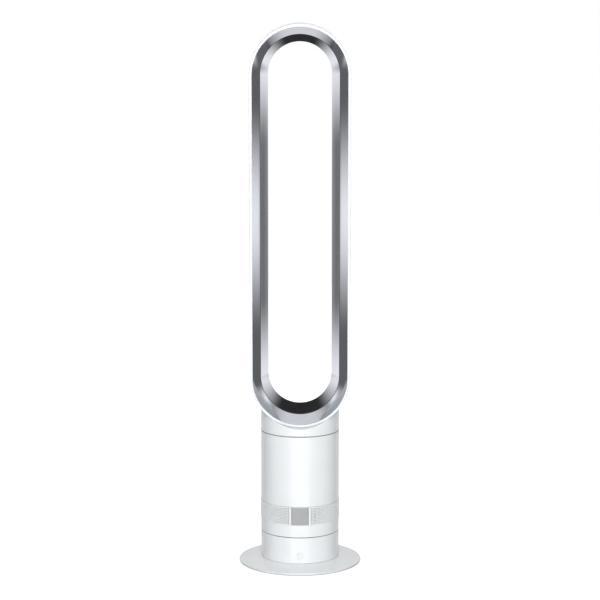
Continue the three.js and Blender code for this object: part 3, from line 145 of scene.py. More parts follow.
HOLE_ROWS = 11
HOLE_COLUMNS = 156
HOLE_RADIUS = 0.95
HOLE_SIDES = 8
GRILLE_RAIL = 1.6
GRILLE_WALL = 1.6
DISPLAY_WIDTH = 33.0
DISPLAY_RAIL = 0.8
DISPLAY_STEPS = 12         # facets across the window
BEZEL_WALL = 3.0
BEZEL_ROUNDING = 0.35
WINDOW_WALL = 1.4
WINDOW_ROUNDING = 0.15
WINDOW_INSET = 0.15
CELL_PITCH = 0.8           # of the display panel's cells
PANEL_EDGE = (13.5, 16.2)  # from the middle out, where the panel fades into the window's border

BUTTON_RADIUS = 6.0
BUTTON_CLEARANCE = 0.3
BUTTON_HEIGHT = 26.5
BUTTON_THICKNESS = 2.2
BUTTON_RINGS = (2.0, 4.0)  # radii at which the face bends to the column
BUTTON_FLANGE_RADIUS = 7.2
BUTTON_FLANGE = 1.0
STEM_RADIUS = 2.2
SYMBOL_RADIUS = 3.3
SYMBOL_STROKE = 0.75
SYMBOL_BLUR = 0.1
SYMBOL_NOTCH = 1.4         # half the ring's opening at the top
SYMBOL_BAR = (0.7, 4.5)    # the bar's foot and top, over the ring's middle
SYMBOL_STRENGTH = 0.6      # of the print, as a share
BORE_NEAR, BORE_FAR = 40, 90   # a drill through the housing's wall, from the axis

GLAND_HEIGHT = 24.0
GLAND_BORE_RADIUS = 3.2
GLAND_SLEEVE_RADIUS = 4.6
GLAND_FLANGE_RADIUS = 6.4
GLAND_FLANGE = 1.8
GLAND_TAPER = 0.4


def box_mm(node):
    """The lowest and highest corners of a node, in millimetres."""
    low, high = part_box(node)
    return Vector(low) / MM, Vector(high) / MM


COLUMN_RADIUS = box_mm("body_shell")[1].x
GRILLE_RADIUS = box_mm("intake_grille")[1].x
FOOT_RADIUS = box_mm("foot_disc")[1].x
LOOP_RADIUS = box_mm("loop_outer_casing")[1].x
LOOP_FRONT = box_mm("loop_outer_casing")[0].y
LOOP_BACK = box_mm("loop_outer_casing")[1].y
LOW_CENTRE = box_mm("loop_outer_casing")[0].z + LOOP_RADIUS
HIGH_CENTRE = box_mm("loop_outer_casing")[1].z - LOOP_RADIUS
CREASE_Y = LOOP_FRONT + CREASE_DEPTH
THROAT_Y = LOOP_FRONT + THROAT_DEPTH
# back face of the black strip that paints the crease's shadow; the ramp's flange ends there too
SHADOW_STRIP_SEAT = CREASE_Y - GAP / 2 + SHADOW_STRIP_THICKNESS
BEZEL_HALF = box_mm("display_bezel")[1].x


# ---------------------------------------------------------------- shader graphs

class Value:
    """A shader socket. Python's operators and these methods add Math nodes to it."""

    def __init__(self, graph, socket):
        self.graph = graph
        self.socket = socket

    def math(self, operation, *values):
        """A Math node with this value first."""
        return self.graph.node("ShaderNodeMath", {"operation": operation}, [self, *values])

    def __add__(self, other):
        return self.math("ADD", other)

    def __sub__(self, other):
        return self.math("SUBTRACT", other)

    def __rsub__(self, other):
        return self.graph.node("ShaderNodeMath", {"operation": "SUBTRACT"}, [other, self])

    def __mul__(self, other):
        return self.math("MULTIPLY", other)

    __radd__ = __add__
    __rmul__ = __mul__

    def absolute(self):
        return self.math("ABSOLUTE")

    def smallest(self, other):
        return self.math("MINIMUM", other)

    def largest(self, other):
        return self.math("MAXIMUM", other)

    def between(self, start, end, low=0.0, high=1.0):
        """A smooth step from low to high as this value goes from start to end."""
        settings = {"interpolation_type": "SMOOTHSTEP"}
        return self.graph.node("ShaderNodeMapRange", settings, [self, start, end, low, high])


class Graph:
    """The nodes of one material or of the world."""

    def __init__(self, owner):
        owner.use_nodes = True
        self.tree = owner.node_tree

    def node(self, kind, settings=None, inputs=(), output=0):
        """Adds a node. An input is a number, a colour or a value that is linked in."""
        node = self.tree.nodes.new(kind)
        for name, value in (settings or {}).items():
            setattr(node, name, value)
        pairs = inputs.items() if isinstance(inputs, dict) else enumerate(inputs)
        for key, value in pairs:
            if isinstance(value, Value):
                self.tree.links.new(value.socket, node.inputs[key])
            else:
                node.inputs[key].default_value = value
        return Value(self, node.outputs[output])

    def place(self):
        """Object coordinates, in metres."""
        return self.node("ShaderNodeTexCoord", output="Object")

    def axes(self, vector):
        """The X, Y and Z parts of a vector."""
        parts = self.node("ShaderNodeSeparateXYZ", None, [vector])
        return [Value(self, socket) for socket in parts.socket.node.outputs]

    def noise(self, scale, detail, vector=None):
        """A wandering value about 0.5; the scale is in waves to a metre."""
        inputs = {"Vector": vector or self.place(), "Scale": scale, "Detail": detail}
        return self.node("ShaderNodeTexNoise", {"noise_dimensions": "3D"}, inputs)

    def stretched(self, stretch):
        """Object coordinates scaled by a factor along each axis."""
        return self.node("ShaderNodeMapping", None, {"Vector": self.place(), "Scale": stretch})

    def dot(self, vector, axis):
        """How far a vector goes along an axis."""
        settings = {"operation": "DOT_PRODUCT"}
        return self.node("ShaderNodeVectorMath", settings, [vector, axis], output=1)

    def mix(self, factor, first, second):
        """A colour between two colours."""
        inputs = {0: factor, 6: first, 7: second}   # 6 and 7 are its sockets for colours
        return self.node("ShaderNodeMix", {"data_type": "RGBA"}, inputs, output=2)

    def bump(self, height, depth):
        """A normal that rises by a depth, in metres, as the height goes from 0 to 1."""
        return self.node("ShaderNodeBump", None, {"Height": height, "Distance": depth})


class Finish(Graph):
    """A material with a Principled shader."""

    def __init__(self, name, **constants):
        self.material = bpy.data.materials.new(name)
        super().__init__(self.material)
        self.shader = self.tree.nodes["Principled BSDF"]
        for socket, value in constants.items():
            self.shader.inputs[socket.replace("_", " ")].default_value = value

    def feed(self, socket, value):
        """Links a value to one of the shader's inputs."""
        self.tree.links.new(value.socket, self.shader.inputs[socket])


def colour(red, green, blue):
    """An opaque colour, in linear light."""
    return (red, green, blue, 1.0)


# ---------------------------------------------------------------- finishes

WHITE = colour(0.84, 0.865, 0.88)

# the stretch of a noise over which a finish goes from one look to the other
FIRM_BAND = (0.35, 0.65)
SOFT_BAND = (0.3, 0.7)
WIDE_BAND = (0.25, 0.75)


def glossy_white():
    """Moulded gloss plastic: a faint mottle, a fine orange peel and a wandering gloss."""
    finish = Finish("glossy_white", IOR=1.5)
    mottle = finish.noise(18.0, 3.0).between(*FIRM_BAND)
    deep = colour(*(0.985 * part for part in WHITE[:3]))
    finish.feed("Base Color", finish.mix(mottle, WHITE, deep))
    finish.feed("Roughness", finish.noise(60.0, 4.0).between(*SOFT_BAND, 0.2, 0.26))
    finish.feed("Normal", finish.bump(finish.noise(900.0, 2.0), 4 * MICRON))
    return finish.material


def satin_white():
    """Unpolished white plastic of the parts that are hidden in use."""
    finish = Finish("satin_white")
    mottle = finish.noise(30.0, 3.0).between(*SOFT_BAND)
    pale, deep = colour(0.74, 0.76, 0.78), colour(0.7, 0.725, 0.745)
    finish.feed("Base Color", finish.mix(mottle, pale, deep))
    finish.feed("Roughness", finish.noise(140.0, 3.0).between(*SOFT_BAND, 0.45, 0.58))
    finish.feed("Normal", finish.bump(finish.noise(2600.0, 2.0), 20 * MICRON))
    return finish.material


def nickel():
    """A metallised satin coat with fine marks along the loop."""
    finish = Finish("satin_nickel", Metallic=1.0)
    cloud = finish.noise(9.0, 4.0).between(*SOFT_BAND)
    finish.feed("Base Color", finish.mix(cloud, colour(0.81, 0.83, 0.89), colour(0.78, 0.8, 0.86)))
    fine = finish.noise(1.0, 3.0, vector=finish.stretched((900.0, 260.0, 900.0)))
    finish.feed("Roughness", fine.between(*WIDE_BAND, 0.055, 0.075))
    finish.feed("Normal", finish.bump(fine, 1.5 * MICRON))
    return finish.material


def display_face():
    """The tinted window over the display, with the faint cells of the panel behind it."""
    finish = Finish("display_face", IOR=1.5)
    x, _, z = finish.axes(finish.place())
    columns = (x * (1 / (CELL_PITCH * MM))).math("PINGPONG", 0.5)
    rows = (z * (1 / (CELL_PITCH * MM))).math("PINGPONG", 0.5)
    cells = columns.smallest(rows).between(0.02, 0.14)
    side = x.absolute().between(*(edge * MM for edge in PANEL_EDGE))
    glow = finish.noise(70.0, 2.0).between(*SOFT_BAND)
    face = finish.mix(glow, colour(0.345, 0.355, 0.365), colour(0.365, 0.375, 0.385))
    framed = finish.mix(side, face, colour(0.305, 0.313, 0.32))
    finish.feed("Base Color", finish.mix(cells, colour(0.312, 0.32, 0.328), framed))
    finish.feed("Roughness", finish.noise(90.0, 2.0).between(*SOFT_BAND, 0.12, 0.17))
    return finish.material


def button_face():
    """Gloss white with the power symbol printed in pale grey: a broken ring and a short bar."""
    finish = Finish("button_face", IOR=1.5)
    x, _, z = finish.axes(finish.place())
    rise = z - BUTTON_HEIGHT * MM
    distance = (x * x + rise * rise).math("SQRT")
    half = SYMBOL_STROKE / 2 * MM
    soft = SYMBOL_BLUR * MM
    opening = SYMBOL_NOTCH * MM
    foot, head = (height * MM for height in SYMBOL_BAR)
    ring = (distance - SYMBOL_RADIUS * MM).absolute().between(half + soft, half - soft)
    lower = rise.between(0.0, -3 * soft)
    notch = x.absolute().between(opening - soft, opening + soft).largest(lower)
    bar = x.absolute().between(half + soft, half - soft)
    ends = rise.between(foot - soft, foot + soft) * rise.between(head + soft, head - soft)
    symbol = (ring * notch).largest(bar * ends)
    mottle = finish.noise(60.0, 3.0).between(*FIRM_BAND)
    body = finish.mix(mottle, WHITE, colour(0.83, 0.85, 0.865))
    finish.feed("Base Color", finish.mix(symbol * SYMBOL_STRENGTH, body, colour(0.42, 0.44, 0.46)))
    finish.feed("Roughness", finish.noise(80.0, 3.0).between(*SOFT_BAND, 0.24, 0.3))
    return finish.material


def soft_rubber(name, tone, lift):
    """Matte rubber with dusty high spots."""
    finish = Finish(name)
    dust = finish.noise(120.0, 4.0).between(0.45, 0.75)
    dusty = colour(*(part + lift for part in tone))
    finish.feed("Base Color", finish.mix(dust, colour(*tone), dusty))
    finish.feed("Roughness", finish.noise(300.0, 3.0).between(*SOFT_BAND, 0.62, 0.8))
    finish.feed("Normal", finish.bump(finish.noise(3200.0, 2.0), 30 * MICRON))
    return finish.material


def plated_steel():
    """Zinc-plated steel: a patchy spangle and turned marks."""
    finish = Finish("plated_steel", Metallic=1.0)
    spangle = finish.node("ShaderNodeTexVoronoi", None, {"Vector": finish.place(), "Scale": 260.0})
    patches = spangle.between(0.1, 0.7)
    pale, deep = colour(0.62, 0.63, 0.64), colour(0.52, 0.53, 0.55)
    finish.feed("Base Color", finish.mix(patches, pale, deep))
    marks = finish.noise(1.0, 2.0, vector=finish.stretched((60.0, 60.0, 2600.0)))
    finish.feed("Roughness", marks.between(*WIDE_BAND, 0.26, 0.42))
    finish.feed("Normal", finish.bump(marks, 4 * MICRON))
    return finish.material


def moulded(name, tone, low, high, grain):
    """A moulded engineering plastic with a spark-eroded grain."""
    finish = Finish(name)
    mottle = finish.noise(40.0, 4.0).between(*SOFT_BAND)
    paler = colour(*(1.12 * part for part in tone))
    finish.feed("Base Color", finish.mix(mottle, colour(*tone), paler))
    finish.feed("Roughness", finish.noise(200.0, 3.0).between(*SOFT_BAND, low, high))
    finish.feed("Normal", finish.bump(finish.noise(2400.0, 3.0), grain))
    return finish.material


def solder_mask():
    """A green board with copper tracks under its lacquer and bare pads."""
    finish = Finish("solder_mask")
    x, y, z = finish.axes(finish.place())
    across = (x * 420.0 + z * 380.0).math("PINGPONG", 0.5).between(0.36, 0.42)
    along = (y * 300.0 + finish.noise(40.0, 1.0) * 2.0).math("PINGPONG", 0.5).between(0.3, 0.36)
    dots = finish.node("ShaderNodeTexVoronoi", None, {"Vector": finish.place(), "Scale": 320.0})
    pads = dots.between(0.22, 0.16)
    board = finish.mix(across.largest(along), colour(0.02, 0.11, 0.05), colour(0.035, 0.2, 0.08))
    finish.feed("Base Color", finish.mix(pads, board, colour(0.6, 0.56, 0.45)))
    finish.feed("Roughness", finish.noise(120.0, 2.0).between(*SOFT_BAND, 0.28, 0.4))
    finish.feed("Normal", finish.bump(across.largest(pads), 30 * MICRON))
    return finish.material


def open_foam():
    """Open-cell foam."""
    finish = Finish("open_foam", Roughness=0.95)
    cells = finish.node("ShaderNodeTexVoronoi", None, {"Vector": finish.place(), "Scale": 900.0})
    pores = cells.between(0.1, 0.55)
    pore, wall = colour(0.02, 0.02, 0.022), colour(0.08, 0.08, 0.085)
    finish.feed("Base Color", finish.mix(pores, pore, wall))
    finish.feed("Normal", finish.bump(pores, 400 * MICRON))
    return finish.material


FINISHES = {
    "white_shell": glossy_white(),
    "inner_white": satin_white(),
    "nickel_coat": nickel(),
    "display_tint": display_face(),
    "grey_seal": soft_rubber("seal_rubber", (0.36, 0.375, 0.38), 0.04),
    "black_rubber": soft_rubber("foot_rubber", (0.028, 0.028, 0.03), 0.03),
    "steel": plated_steel(),
    "acetal": moulded("acetal", (0.72, 0.71, 0.66), 0.35, 0.45, 10 * MICRON),
    "circuit_board": solder_mask(),
    "black_plastic": moulded("black_plastic", (0.025, 0.025, 0.028), 0.42, 0.56, 40 * MICRON),
    "grey_plastic": moulded("grey_plastic", (0.17, 0.175, 0.185), 0.4, 0.52, 30 * MICRON),
    "acoustic_foam": open_foam(),
    "button": button_face(),
}


# ---------------------------------------------------------------- mesh forms

def outline(points, place):
    """A closed wire through points of (across, along, rounding), each corner rounded."""
    mesh = bmesh.new()
    corners = [mesh.verts.new(place(across, along)) for across, along, _ in points]
    mesh.faces.new(corners)
    for corner, (_, _, rounding) in zip(corners, points):
        if rounding:
            bmesh.ops.bevel(
                mesh, geom=[corner], offset=rounding * MM, offset_type="OFFSET", affect="VERTICES",
                segments=EDGE_SEGMENTS, profile=0.5, material=-1,
            )
    bmesh.ops.delete(mesh, geom=mesh.faces[:], context="FACES_ONLY")
    return mesh


def turned(points, steps=STEPS):
    """A profile of (radius, height, rounding) turned about the column's axis."""
    mesh = outline(points, lambda radius, height: (radius * MM, 0, height * MM))
    bmesh.ops.spin(
        mesh, geom=mesh.verts[:] + mesh.edges[:], cent=(0, 0, 0), axis=(0, 0, 1),
        angle=2 * math.pi, steps=steps, use_merge=True,
    )
    return mesh


def racetrack(points):
    """A profile of (radius, depth, rounding) carried round the loop."""
    mesh = outline(points, lambda radius, depth: (radius * MM, depth * MM, LOW_CENTRE * MM))
    front = mesh.verts[:] + mesh.edges[:]
    rise = (0, 0, (HIGH_CENTRE - LOW_CENTRE) * MM)
    for centre, shift in ((LOW_CENTRE, rise), (HIGH_CENTRE, -Vector(rise))):
        turn = bmesh.ops.spin(
            mesh, geom=front, cent=(0, 0, centre * MM), axis=(0, 1, 0), angle=math.pi,
            steps=LOOP_END_STEPS,
        )
        edges = [part for part in turn["geom_last"] if isinstance(part, bmesh.types.BMEdge)]
        grown = bmesh.ops.extrude_edge_only(mesh, edges=edges)["geom"]
        moved = [part for part in grown if isinstance(part, bmesh.types.BMVert)]
        bmesh.ops.translate(mesh, verts=moved, vec=shift)
        front = [part for part in grown if not isinstance(part, bmesh.types.BMFace)]
    return mesh


def laid_back(mesh, height):
    """Turns a form made about Z to lie about Y at a height, its top to the back."""
    turn = Matrix.Translation((0, 0, height * MM)) @ Matrix.Rotation(-math.pi / 2, 4, "X")
    bmesh.ops.transform(mesh, matrix=turn, verts=mesh.verts[:])
    return mesh


def wrap(mesh, radius):
    """Bends a flat form that faces -Y at y = 0 round the column at a radius, in millimetres."""
    for vert in mesh.verts:
        x, y, z = vert.co
        angle = x / (radius * MM)
        reach = radius * MM - y
        vert.co = (reach * math.sin(angle), -reach * math.cos(angle), z)
    return mesh


def settle(mesh):
    """Closes the seams, turns the faces outwards and marks the sharp edges."""
    bmesh.ops.remove_doubles(mesh, verts=mesh.verts[:], dist=SAME_PLACE * MM)
    bmesh.ops.recalc_face_normals(mesh, faces=mesh.faces[:])
    for face in mesh.faces:
        face.smooth = True
    for edge in mesh.edges:
        edge.smooth = edge.calc_face_angle(math.pi) < SHARP_ANGLE


def cut(mesh, cutter):
    """Takes one form out of another."""
    holders = []
    for form in (mesh, cutter):
        settle(form)
        data = bpy.data.meshes.new("form")
        form.to_mesh(data)
        form.free()
        holders.append(bpy.data.objects.new("form", data))
        bpy.context.scene.collection.objects.link(holders[-1])
    modifier = holders[0].modifiers.new("cut", "BOOLEAN")
    modifier.operation = "DIFFERENCE"
    modifier.solver = "EXACT"
    modifier.object = holders[1]
    shaped = holders[0].evaluated_get(bpy.context.evaluated_depsgraph_get())
    result = bmesh.new()
    result.from_mesh(shaped.to_mesh())
    shaped.to_mesh_clear()
    for holder in holders:
        bpy.data.objects.remove(holder)
    return result


def piece(name, mesh, slot, body, *nodes, material=None, wall=0.0, rounding=0.0):
    """Makes a mesh a piece of the fan, which stands for a node of the frame if one is named.

    A sheet gets its wall behind its face, and its edges may be rounded, both in millimetres.
    """
    settle(mesh)
    data = bpy.data.meshes.new(name)
    mesh.to_mesh(data)
    mesh.free()
    made = bpy.data.objects.new(name, data)
    bpy.context.scene.collection.objects.link(made)
    data.materials.append(material or FINISHES[slot])
    if wall:
        backing = made.modifiers.new("wall", "SOLIDIFY")
        backing.thickness = wall * MM
        backing.offset = -1
    if rounding:
        edge = made.modifiers.new("edge", "BEVEL")
        edge.width = rounding * MM
        edge.segments = SHEET_EDGE_SEGMENTS
        edge.limit_method = "ANGLE"
        edge.angle_limit = SHEET_EDGE_ANGLE
    flats = made.modifiers.new("flats", "WEIGHTED_NORMAL")
    flats.keep_sharp = True
    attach(made, body)
    if nodes:
        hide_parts(*nodes)


# ---------------------------------------------------------------- foot and lower housing

def make_foot():
    """A thin dished disc, its rubber ring, and a plate under it with a hole for each screw."""
    low, high = box_mm("foot_disc")
    edge_top = low.z + FOOT_EDGE_HEIGHT
    shoulder = COLUMN_RADIUS + FOOT_SHOULDER
    skin = FOOT_RADIUS - FOOT_WALL
    disc = turned([
        (0, high.z - FOOT_WALL, 0), (shoulder, high.z - FOOT_WALL, 0),
        (skin, edge_top - FOOT_WALL, 0), (skin, low.z, 0),
        (FOOT_RADIUS - FOOT_UNDERCUT, low.z, FINE_EDGE),
        (FOOT_RADIUS, edge_top, FOOT_EDGE_ROUNDING), (shoulder, high.z, FOOT_SHOULDER_ROUNDING),
        (0, high.z, 0),
    ])
    piece("foot_skin", disc, "white_shell", "base", "foot_disc")
    pad_low, pad_high = box_mm("foot_pad_ring")
    pad_inner = pad_high.x - PAD_WIDTH
    pad = turned([
        (pad_inner, pad_low.z, SOFT_EDGE), (pad_high.x, pad_low.z, SOFT_EDGE),
        (pad_high.x, pad_high.z, 0), (pad_inner, pad_high.z, 0),
    ])
    piece("foot_pad", pad, "black_rubber", "base", "foot_pad_ring")
    low, high = box_mm("foot_cover")
    groove_top = pad_high.z + GAP
    cover = turned([
        (0, low.z, 0), (pad_inner - GAP, low.z, FINE_EDGE), (pad_inner - GAP, groove_top, 0),
        (pad_high.x + GAP, groove_top, 0), (pad_high.x + GAP, low.z, FINE_EDGE),
        (high.x, low.z, LIP_EDGE), (high.x, high.z, 0), (0, high.z, 0),
    ])
    rods = bmesh.new()
    bore = (SCREW_HEAD_RADIUS + GAP) * MM
    for index in range(1, SCREWS + 1):
        place = sum(box_mm(f"foot_screw_{index}"), Vector()) * MM / 2
        bmesh.ops.create_cone(
            rods, cap_ends=True, segments=BORE_STEPS, radius1=bore, radius2=bore,
            depth=FOOT_BORE_DEPTH * MM, matrix=Matrix.Translation(place),
        )
    piece("foot_plate", cut(cover, rods), "inner_white", "base", "foot_cover")


def make_foot_screws():
    """Pan-headed screws with a cross recess, seen from under the foot."""
    for index in range(1, SCREWS + 1):
        node = f"foot_screw_{index}"
        low, high = box_mm(node)
        seat = low.z + SCREW_HEAD
        screw = turned([
            (0, low.z, 0), (SCREW_TIP * SCREW_HEAD_RADIUS, low.z, SCREW_CROWN_ROUNDING),
            (SCREW_HEAD_RADIUS, low.z + SCREW_CROWN, ROUND_EDGE),
            (SCREW_HEAD_RADIUS, seat, HAIR_EDGE), (SCREW_RADIUS, seat, 0),
            (SCREW_RADIUS, high.z - SCREW_RADIUS, 0),
            (SCREW_TIP * SCREW_RADIUS, high.z, 0), (0, high.z, 0),
        ], SCREW_STEPS)
        for turn in (CROSS_TURN, CROSS_TURN + math.pi / 2):
            slot = bmesh.new()
            size = Vector((CROSS_LENGTH, CROSS_WIDTH, 2 * CROSS_DEPTH)) * MM
            place = Matrix.Translation((0, 0, low.z * MM)) @ Matrix.Rotation(turn, 4, "Z")
            bmesh.ops.create_cube(slot, size=1, matrix=place @ Matrix.Diagonal((*size, 1)))
            screw = cut(screw, slot)
        middle = (low + high) / 2
        bmesh.ops.translate(screw, verts=screw.verts[:], vec=(middle.x * MM, middle.y * MM, 0))
        piece(f"foot_fixing_{index}", screw, "steel", "base", node)


def rod(radius, start, end, steps, height):
    """A rod along Y at a height, to take a hole out with."""
    form = turned([(0, start, 0), (radius, start, 0), (radius, end, 0), (0, end, 0)], steps)
    return laid_back(form, height)


def make_lower_housing():
    """A cup with a hole for the button in front and one for the cord's gland behind."""
    low, high = box_mm("lower_housing")
    inner = COLUMN_RADIUS - SHELL_WALL
    cup = turned([
        (0, low.z, 0), (COLUMN_RADIUS, low.z, SEAM_ROUNDING),
        (COLUMN_RADIUS, high.z, SEAM_ROUNDING), (inner, high.z, SOFT_EDGE),
        (inner, low.z + SHELL_WALL, 0), (0, low.z + SHELL_WALL, 0),
    ])
    hole = BUTTON_RADIUS + BUTTON_CLEARANCE
    front = rod(hole, -BORE_FAR, -BORE_NEAR, BUTTON_STEPS, BUTTON_HEIGHT)
    back = rod(GLAND_SLEEVE_RADIUS + GAP, BORE_NEAR, BORE_FAR, BORE_STEPS, GLAND_HEIGHT)
    piece("housing_skin", cut(cut(cup, front), back), "white_shell", "base", "lower_housing")


def make_button():
    """A cap with a flange and a stem; its face follows the column's wall."""
    back = -COLUMN_RADIUS + BUTTON_THICKNESS
    stem_end = box_mm("power_button")[1].y
    cap = laid_back(turned([
        (0, -COLUMN_RADIUS, 0), *((radius, -COLUMN_RADIUS, 0) for radius in BUTTON_RINGS),
        (BUTTON_RADIUS, -COLUMN_RADIUS, ROUND_EDGE), (BUTTON_RADIUS, back, 0),
        (BUTTON_FLANGE_RADIUS, back, 0), (BUTTON_FLANGE_RADIUS, back + BUTTON_FLANGE, 0),
        (STEM_RADIUS, back + BUTTON_FLANGE, 0), (STEM_RADIUS, stem_end, SOFT_EDGE),
        (0, stem_end, 0),
    ], BUTTON_STEPS), BUTTON_HEIGHT)
    for vert in cap.verts:
        if vert.co.y < (back - NEAR) * MM:
            vert.co.y += COLUMN_RADIUS * MM - math.sqrt((COLUMN_RADIUS * MM) ** 2 - vert.co.x ** 2)
    piece(
        "button_cap", cap, "white_shell", "power_button", "power_button",
        material=FINISHES["button"],
    )


def make_gland():
    """A flanged sleeve that the cord comes out of."""
    low, high = box_mm("cord_gland")
    outside = COLUMN_RADIUS + GAP
    gland = laid_back(turned([
        (GLAND_BORE_RADIUS, low.y, SOFT_EDGE), (GLAND_FLANGE_RADIUS, low.y, LIP_EDGE),
        (GLAND_FLANGE_RADIUS, low.y + GLAND_FLANGE, SOFT_EDGE),
        (GLAND_SLEEVE_RADIUS, low.y + GLAND_FLANGE, 0), (GLAND_SLEEVE_RADIUS, outside, 0),
        (GLAND_FLANGE_RADIUS, outside, SOFT_EDGE),
        (GLAND_SLEEVE_RADIUS + GLAND_TAPER, high.y, ROUND_EDGE),
        (GLAND_BORE_RADIUS, high.y, LIP_EDGE),
    ], GLAND_STEPS), GLAND_HEIGHT)
    piece("gland_skin", gland, "grey_plastic", "base", "cord_gland")


# ---------------------------------------------------------------- column

def make_column_skins():
    """The skirt under the grille, the body over it, and the grey seal under the neck."""
    inner = COLUMN_RADIUS - SHELL_WALL
    for name, node in (("skirt_skin", "tower_skirt"), ("body_skin", "body_shell")):
        low, high = box_mm(node)
        skin = turned([
            (inner, low.z, SOFT_EDGE), (COLUMN_RADIUS, low.z, SEAM_ROUNDING),
            (COLUMN_RADIUS, high.z, SEAM_ROUNDING), (inner, high.z, SOFT_EDGE),
        ])
        piece(name, skin, "white_shell", "tower", node)
    low, high = box_mm("neck_seal")
    seal = turned([
        (inner, low.z, 0), (high.x, low.z, SEAL_ROUNDING), (high.x, high.z, SEAL_ROUNDING),
        (inner, high.z, 0),
    ])
    piece("seal_ring", seal, "grey_seal", "tower", "neck_seal")


def make_neck():
    """The column's wall runs up to the loop and closes under it with a saddle."""
    low, _ = box_mm("loop_neck")
    bottom = box_mm("neck_seal")[1].z + GAP
    fit = COLUMN_RADIUS - SHELL_WALL - GAP
    rings = [COLUMN_RADIUS * part for part in SADDLE_RINGS]
    saddle = bottom + SHELL_WALL + COLLAR
    form = turned([
        (0, low.z, 0), (fit, low.z, LIP_EDGE), (fit, bottom, 0),
        (COLUMN_RADIUS, bottom, SEAM_ROUNDING), (COLUMN_RADIUS, saddle, 0),
        *((radius, saddle, 0) for radius in rings),
    ])
    settle(form)
    reach = (LOOP_RADIUS + GAP) * MM
    for vert in form.verts:
        if vert.co.z > (saddle - NEAR) * MM:
            vert.co.z = LOW_CENTRE * MM - math.sqrt(reach ** 2 - vert.co.x ** 2)
    edge = [
        line for line in form.edges
        if all(abs(math.hypot(*vert.co.xy) - COLUMN_RADIUS * MM) < NEAR * MM for vert in line.verts)
        and line.calc_face_angle(0) > SHARP_ANGLE and line.verts[0].co.z > (saddle + COLLAR) * MM
    ]
    bmesh.ops.bevel(
        form, geom=edge, offset=SADDLE_ROUNDING * MM, offset_type="OFFSET", affect="EDGES",
        segments=EDGE_SEGMENTS, profile=0.5, material=-1,
    )
    piece("neck_skin", form, "white_shell", "tower", "loop_neck")


# ---------------------------------------------------------------- intake grille and display

def make_grille():
    """Columns of small holes round the whole band apart from the display.

    One cell is a hole in its share of the sheet. Cells make a column, and columns the band.
    """
    low, high = box_mm("intake_grille")
    edge = BEZEL_HALF + GAP
    span = 2 * math.pi * GRILLE_RADIUS - 2 * math.asin(edge / GRILLE_RADIUS) * GRILLE_RADIUS
    pitch = span / HOLE_COLUMNS
    rise = (high.z - low.z - 2 * GRILLE_RAIL) / HOLE_ROWS
    mesh = bmesh.new()
    bmesh.ops.create_circle(mesh, segments=HOLE_SIDES, radius=HOLE_RADIUS * MM)
    for vert in bmesh.ops.create_circle(mesh, segments=HOLE_SIDES, radius=rise / 2 * MM)["verts"]:
        x, y = vert.co.x, vert.co.y
        vert.co.x = math.copysign(pitch / 2 * MM, x) if abs(x) > NEAR * MM else 0
        vert.co.y = math.copysign(rise / 2 * MM, y) if abs(y) > NEAR * MM else 0
    bmesh.ops.bridge_loops(mesh, edges=mesh.edges[:])
    upright = Matrix.Rotation(math.pi / 2, 3, "X")
    bmesh.ops.rotate(mesh, verts=mesh.verts[:], cent=(0, 0, 0), matrix=upright)
    start = (low.z + GRILLE_RAIL + rise / 2) * MM
    bmesh.ops.translate(mesh, verts=mesh.verts[:], vec=(0, 0, start))
    cell = mesh.verts[:] + mesh.edges[:] + mesh.faces[:]
    for row in range(1, HOLE_ROWS):
        copy = bmesh.ops.duplicate(mesh, geom=cell)["geom"]
        moved = [part for part in copy if isinstance(part, bmesh.types.BMVert)]
        bmesh.ops.translate(mesh, verts=moved, vec=(0, 0, row * rise * MM))
    for height in (low.z, high.z - GRILLE_RAIL):
        rail = bmesh.ops.create_grid(mesh, x_segments=2, y_segments=1, size=0.5)["verts"]
        for vert in rail:
            across, along = vert.co.x, vert.co.y
            vert.co = (across * pitch * MM, 0, (height + (along + 0.5) * GRILLE_RAIL) * MM)
    column = mesh.verts[:] + mesh.edges[:] + mesh.faces[:]
    first = math.pi * GRILLE_RADIUS - span / 2 + pitch / 2
    bmesh.ops.translate(mesh, verts=mesh.verts[:], vec=(first * MM, 0, 0))
    for step in range(1, HOLE_COLUMNS):
        copy = bmesh.ops.duplicate(mesh, geom=column)["geom"]
        moved = [part for part in copy if isinstance(part, bmesh.types.BMVert)]
        bmesh.ops.translate(mesh, verts=moved, vec=(step * pitch * MM, 0, 0))
    bmesh.ops.remove_doubles(mesh, verts=mesh.verts[:], dist=2 * SAME_PLACE * MM)
    wrap(mesh, GRILLE_RADIUS)
    piece("grille_band", mesh, "white_shell", "tower", "intake_grille", wall=GRILLE_WALL)


